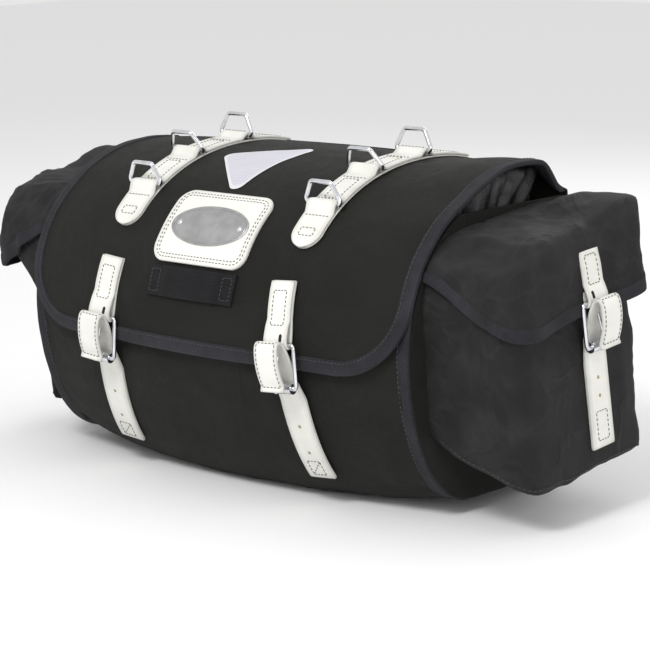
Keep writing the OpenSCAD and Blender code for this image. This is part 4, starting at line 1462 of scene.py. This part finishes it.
for side, label in SIDES:
    feet = []
    for row, lean in LOOP_LEANS:
        foot, _ = joint(f"loop_{label}_{row}_swing")
        feet.append(lid_near(STRAP_X, foot.y, foot.z, 0.125))
        rise = Vector((0, -math.sin(math.radians(lean)), math.cos(math.radians(lean)))) * LOOP_RISE
        wide, narrow = AXIS_X * LOOP_FOOT, AXIS_X * LOOP_TOP
        corners = [foot - wide, foot + wide, foot + narrow + rise, foot - narrow + rise]
        wire_loop(f"loop_{label}_{row}", corners, 3.2)

    p = Piece(f"lid_strap_{label}_leather", LEATHER, THREAD, HOLE)
    under = lid_strip(side * STRAP_X, lambda s: 0.75)
    under.leather(p, LID_STRAP_W, 1.2, tip=(LID_STRAP_W / 2, 0))
    top = lid_strip(side * STRAP_X, lambda s: 2.3 + 4.3 * sum(bump(s, f, 7.5) for f in feet))
    top.leather(p, LID_STRAP_W, 1.9, tip=(LID_STRAP_W / 2, 0))
    marks = [f - LID_STRAP_START for f in feet]
    top.box(p, 8.5, 14.5, 6.2, 0.95)
    top.box(p, marks[0] + 11.5, marks[1] - 11, 6.4, 0.95)
    top.box(p, marks[1] + 11, marks[2] - 11, 6.4, 0.95)
    top.box(p, marks[2] + 11, top.length - 4, 6.4, 0.95)
    for m in marks:
        for d in (-8.6, 8.6):
            top.cross(p, m + d, -10.5, 10.5, 0.95)
    p.build("lid", [f"lid_strap_{label}"])

# ---------------------------------------------------------------- what is sewn on the lid


def outline_box(w, h, r):
    """Outline of a patch, for patch()."""
    return spread(rounded_box(w, h, r, 9), 3.0)


def spread(pts, step):
    """Closed chain with extra points on its long sides."""
    out = []
    for a, b in zip(pts, pts[1:] + pts[:1]):
        k = max(1, math.ceil(math.hypot(b[0] - a[0], b[1] - a[1]) / step))
        out += [(lerp(a[0], b[0], j / k), lerp(a[1], b[1], j / k)) for j in range(k)]
    return out


def patch(piece, surface, centre, edge, thick, lift=0.2, mat=0, dome=0.0, levels=12):
    """A flat piece laid on a surface round centre (a, b); edge is its outline and its rim is rounded."""
    a0, b0 = centre

    def place(u, v, h):
        return surface.at(a0 + u, b0 + v, h)

    top = []
    for k in range(levels + 1):
        q = 0.03 + 0.97 * (k / levels) ** 0.8
        h = lift + thick + dome * (1 - q * q)
        top.append([piece.add(place(u * q, v * q, h), ((a0 + u * q) * MM, (b0 + v * q) * MM),
                              0.6 * smooth(q, 0.965, 1.0)) for u, v in edge])
    for q, h in ((1.006, lift + thick * 0.82), (1.008, lift + thick * 0.4), (1.004, lift)):
        top.append([piece.add(place(u * q, v * q, h), (u * MM, v * MM), 0.5) for u, v in edge])
    top.append([piece.add(place(u * 0.5, v * 0.5, lift), (u * MM, v * MM)) for u, v in edge])
    piece.rows(top, mat, wrap=True)
    piece.face(top[0], mat)
    piece.face(top[-1][::-1], mat)


def patch_seam(piece, surface, centre, edge, h, inset, pitch=3.0, r=0.34):
    """Stitches round a patch, inset from its outline."""
    n = len(edge)
    pts = []
    for i in range(n):
        (ax, ay), (bx, by) = edge[i - 1], edge[(i + 1) % n]
        d = math.hypot(bx - ax, by - ay)
        pts.append((edge[i][0] - (by - ay) / d * inset, edge[i][1] + (bx - ax) / d * inset))
    run = [0.0]
    for a, b in zip(pts, pts[1:] + pts[:1]):
        run.append(run[-1] + math.hypot(b[0] - a[0], b[1] - a[1]))

    def where(s):
        i = clamp(bisect.bisect_right(run, s % run[-1]) - 1, 0, n - 1)
        t = (s % run[-1] - run[i]) / (run[i + 1] - run[i])
        u, v = (lerp(a, b, t) for a, b in zip(pts[i], pts[(i + 1) % n]))
        return surface.spot(centre[0] + u, centre[1] + v, h)

    piece.seam(where, run[-1], pitch, 0.68, r)


BADGE = (0, lid_near(0, -84, 183, 0.5))
edge = outline_box(86, 56, 11)
p = Piece("badge_patch_leather", LEATHER, THREAD)
patch(p, lid, BADGE, edge, 2.0, 0.3)
patch_seam(p, lid, BADGE, edge, 2.3, 2.8)
patch_seam(p, lid, BADGE, edge, 2.3, 5.0)
p.build("lid", ["badge_patch"])

PLATE_A, PLATE_B = 35.0, 15.0  # half axes of the oval
BEAD_IN = 1.7  # from the plate's edge to its raised bead
oval = spread([(PLATE_A * c, PLATE_B * s) for c, s in around(60)], 5)
p = Piece("badge_plate_oval", PLATE)
patch(p, lid, BADGE, oval, 0.7, 2.35, dome=0.35)
bead = [(u * (1 - BEAD_IN / PLATE_A), v * (1 - BEAD_IN / PLATE_B)) for u, v in oval]
p.tube([lid.at(u, BADGE[1] + v, 3.15) for u, v in bead], 0.42, sides=8, loop=True)
p.build("lid", ["badge_plate"])
p = Piece("badge_rivets_domed", NICKEL)
for side in (-1, 1):
    q, n = lid.spot(side * 28, BADGE[1], 3.05)
    p.disc(q, n, AXIS_X, 2.2, 0.6, dome=0.9, sides=20)
p.build("lid", ["badge_rivets"])

loop_low, loop_high = (lid_near(0, *bez(upper_front(106, 222), t), 0.5) for t in (0.13, 0.235))


def loop_fn(a, b):
    """Webbing sewn down at its ends and free in its middle."""
    free = smooth(38 - abs(a), 8, 16)
    return lid.at(a, b, 1.9 + 1.0 * free + 0.25 * fuzz(a, b, 0, 14, 5) * free)


web = Surface(loop_fn)
p = Piece("light_loop_webbing", WEBBING, DARK_THREAD)
grid = [[(40.0 * k / 30, lerp(loop_low, loop_high, r / 10)) for k in range(-30, 31)] for r in range(11)]
p.sheet(web, grid, 1.4, wear=lambda a, b: 0.3 * (abs(a) > 38.5 or b < loop_low + 1 or b > loop_high - 1))
for side in (-1, 1):
    box_edge = spread([(side * 33.5 + u, v) for u, v in ((4, 7.4), (-4, 7.4), (-4, -7.4), (4, -7.4))], 3)
    patch_seam(p, web, (0, (loop_low + loop_high) / 2), box_edge, 0.08, 0.0, pitch=2.6, r=0.3)
p.build("lid", ["light_loop"])

TRI = ((-28, 4), (11, -32), (17, 29))  # corners of the reflective patch, before TRI_R is added round them
TRI_R = 6.0
TRI_AT = (-17, lid_near(0, -21, 218, 0.5) + 4)
turned = [math.degrees(math.atan2(a[0] - b[0], b[1] - a[1])) for a, b in zip(TRI, TRI[1:] + TRI[:1])]
tri_edge = []
for k, corner in enumerate(TRI):
    tri_edge += arc(corner, TRI_R, turned[k - 1], turned[k - 1] + (turned[k] - turned[k - 1]) % 360, 7)
tri_edge = spread(tri_edge, 3.5)
p = Piece("reflective_patch_film", RETRO, EDGING)
patch(p, lid, TRI_AT, tri_edge, 0.35, 0.25, mat=1)
patch(p, lid, TRI_AT, [(u * 0.91, v * 0.91) for u, v in tri_edge], 0.25, 0.5, mat=0)
p.build("lid", ["reflective_patch"])

# ---------------------------------------------------------------- bicycle side

SADDLE_X = 70.0
LOW_Z, HIGH_Z = 172.0, 201.6  # heights of the two slots of a saddle strap
INNER_Y, OUTER_Y = 60.6, 83.9  # of the saddle strap's two runs
POST_Y, POST_Z = 98.05, 62.0  # the seatpost's axis and the strap's height
THIN_LEATHER = 1.9
rear = Surface(lambda a, b: Vector((a, BACK + 0.1, b)), flip=True)
p = Piece("slot_patches_leather", LEATHER, THREAD, HOLE)
for side in (-1, 1):
    edge = outline_box(40, 46, 6)
    patch(p, rear, (side * SADDLE_X, LOW_Z + 11), edge, 1.8, 0.1)
    patch_seam(p, rear, (side * SADDLE_X, LOW_Z + 11), edge, 1.9, 2.6)
    for z in (LOW_Z, HIGH_Z):
        slot = outline_box(22.5, 3.6, 1.6)
        patch(p, rear, (side * SADDLE_X, z), slot, 0.12, 1.9, mat=2, levels=2)
edge = outline_box(52, 34, 6)
patch(p, rear, (0, POST_Z), edge, 1.8, 0.1)
patch_seam(p, rear, (0, POST_Z), edge, 1.9, 2.6)
p.build("bag", ["slot_patches"])

SMALL_DROP = 20.0  # of the saddle and seatpost buckles
FOLD_R = 2.5  # of the leather's middle round a buckle's bar
corners = ((INNER_Y, LOW_Z), (OUTER_Y, LOW_Z), (OUTER_Y, HIGH_Z), (INNER_Y, HIGH_Z))
saddle_path = [(q.x, q.y) for q in rounded_loop([Vector((y, z, 0)) for y, z in corners], 3.5)]
for side, label in SIDES:
    heel, _ = joint(f"saddle_buckle_{label}_swing")
    plane = (AXIS_X * side * SADDLE_X, AXIS_X, AXIS_Y, AXIS_Z)
    p = Piece(f"saddle_strap_{label}_leather", LEATHER, THREAD, HOLE)
    strip = Strip(*plane, saddle_path, 1.5, 1, closed=True)
    strip.leather(p, STRAP_W, THIN_LEATHER, ends=False, closed=True)
    path = [(86.0, HIGH_Z - 1.5), (85.0, heel.z + 3)] + arc((heel.y, heel.z), FOLD_R, 200, 380, 12)
    fold = Strip(*plane, path + [(87.4, heel.z + 5), (86.9, HIGH_Z + 0.5)], 0.8, 1)
    fold.leather(p, STRAP_W, 1.5)
    fold.cross(p, fold.length - 2.2, -7.5, 7.5, 0.75)
    fold.hole(p, fold.length - 7.6, 0, 1.5, 0.76, 2, 1.4)
    p.build("bag", [f"saddle_strap_{label}"])
    buckle_wire(f"saddle_buckle_{label}", heel, AXIS_X, -AXIS_Z, SMALL_DROP)

heel, _ = joint("seatpost_buckle_swing")
plane = (AXIS_Z * POST_Z, AXIS_Z, AXIS_X, AXIS_Y)
p = Piece("seatpost_strap_leather", LEATHER, THREAD)
strip = Strip(*plane, [(14.65 * s, POST_Y + 14.65 * c) for c, s in around(72)], 2, 0, closed=True)
strip.leather(p, STRAP_W, THIN_LEATHER, ends=False, closed=True)
flat = Strip(*plane, [(-20, 83.3), (20, 83.3)], 2, 0)
flat.leather(p, STRAP_W, THIN_LEATHER)
for x in (-17, -11, 11, 17):
    p.seam(lambda d: (Vector((x, 84.35, POST_Z - 7.5 + d)), AXIS_Y), 15, 3, 0.68, 0.34)
hx, hy = heel.x, heel.y
path = [(hx - 9.5, hy - 5.6), (hx - 4, hy - 2.4)] + arc((hx, hy), FOLD_R, 250, 442, 12)
fold = Strip(*plane, path + [(hx - 4, hy + 1.2), (hx - 11, hy - 3.2)], 0.8, 1)
fold.leather(p, STRAP_W, 1.5)
fold.cross(p, fold.length - 2.4, -7.5, 7.5, 0.76)
p.build("bag", ["seatpost_strap"])
buckle_wire("seatpost_buckle", heel, AXIS_Z, AXIS_X, SMALL_DROP)

# ---------------------------------------------------------------- the lock's spring

COIL_TURNS, COIL_R, COIL_WIRE = 3.2, 4.5, 0.35
low_coil, high_coil = (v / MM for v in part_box("cord_lock_spring"))
middle = (low_coil + high_coil) / 2
path = enumerate(arc(middle, COIL_R, 0, 360 * COIL_TURNS, 96))
coil = [Vector((x, y, lerp(low_coil.z + 0.36, high_coil.z - 0.36, k / 96))) for k, (x, y) in path]
p = Piece("cord_lock_spring_coil", STEEL)
p.tube(coil, COIL_WIRE, sides=10)
spring = p.build("bag", ["cord_lock_spring"])
foot = (middle.x * MM, middle.y * MM, (low_coil.z - 0.25) * MM)
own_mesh(spring)

# ---------------------------------------------------------------- looks of pieces that keep their CAD shape

KEPT = [("dowel", WOOD), ("cord_lock_barrel", LOCK), ("cord_lock_plunger", LOCK)]
for _, label in SIDES:
    KEPT += [(f"{kind}_roller_{label}", NICKEL) for kind in ("front", "pocket")]
    KEPT += [(f"{kind}_tongue_{label}", NICKEL) for kind in ("front", "pocket", "saddle")]
KEPT.append(("seatpost_tongue", NICKEL))
for name, mat in KEPT:
    o = frame["nodes"][name]
    o.data.materials.clear()
    o.data.materials.append(mat)
    m = o.modifiers.new("eased_edges", "BEVEL")
    m.width, m.segments, m.limit_method, m.angle_limit = 0.00025, 2, "ANGLE", math.radians(50)

# ---------------------------------------------------------------- floor, light and camera

FLOOR_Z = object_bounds()[0][2] - 0.0002
bpy.ops.mesh.primitive_plane_add(size=8, location=(0, 0, FLOOR_Z))
floor = bpy.context.object
floor.name = "floor"
s = Shader("pale_floor")
floor.data.materials.append(s.set(Base_Color=rgb(0.9, 0.9, 0.9), Roughness=0.9, Specular_IOR_Level=0.1))

world = bpy.data.worlds.new("studio")
bpy.context.scene.world = world
world.use_nodes = True
world.node_tree.nodes["Background"].inputs[0].default_value = (1, 1, 1, 1)
world.node_tree.nodes["Background"].inputs[1].default_value = 0.8


def area(name, place, target, size, power):
    data = bpy.data.lights.new(name, "AREA")
    data.shape, data.size, data.size_y, data.energy = "RECTANGLE", size[0], size[1], power
    o = bpy.data.objects.new(name, data)
    bpy.context.scene.collection.objects.link(o)
    o.location = place
    o.rotation_euler = (Vector(target) - Vector(place)).to_track_quat("-Z", "Y").to_euler()


area("key", (0.3, -1.1, 1.2), (0, 0, 0.1), (0.5, 0.4), 12)
area("side", (1.5, -0.6, 0.5), (0.1, 0, 0.1), (0.4, 0.6), 4.5)
area("rear", (-0.3, 1.3, 1.0), (0, 0, 0.15), (1.0, 0.5), 5)

bpy.context.scene.view_settings.view_transform = "Standard"
AZ, EL, ROLL = math.radians(42.575), math.radians(11.11), math.radians(-1.10)
aim = Vector((0.028455, 0, 0.103436))
back = Vector((math.sin(AZ) * math.cos(EL), -math.cos(AZ) * math.cos(EL), math.sin(EL)))
cam = bpy.data.objects.new("camera", bpy.data.cameras.new("camera"))
bpy.context.scene.collection.objects.link(cam)
cam.data.lens = 139.0
cam.data.sensor_width = 36
cam.location = aim + back * 1.74036
cam.rotation_euler = (back.to_track_quat("Z", "Y").to_matrix() @ Matrix.Rotation(ROLL, 3, "Z")).to_euler()
bpy.context.scene.camera = cam
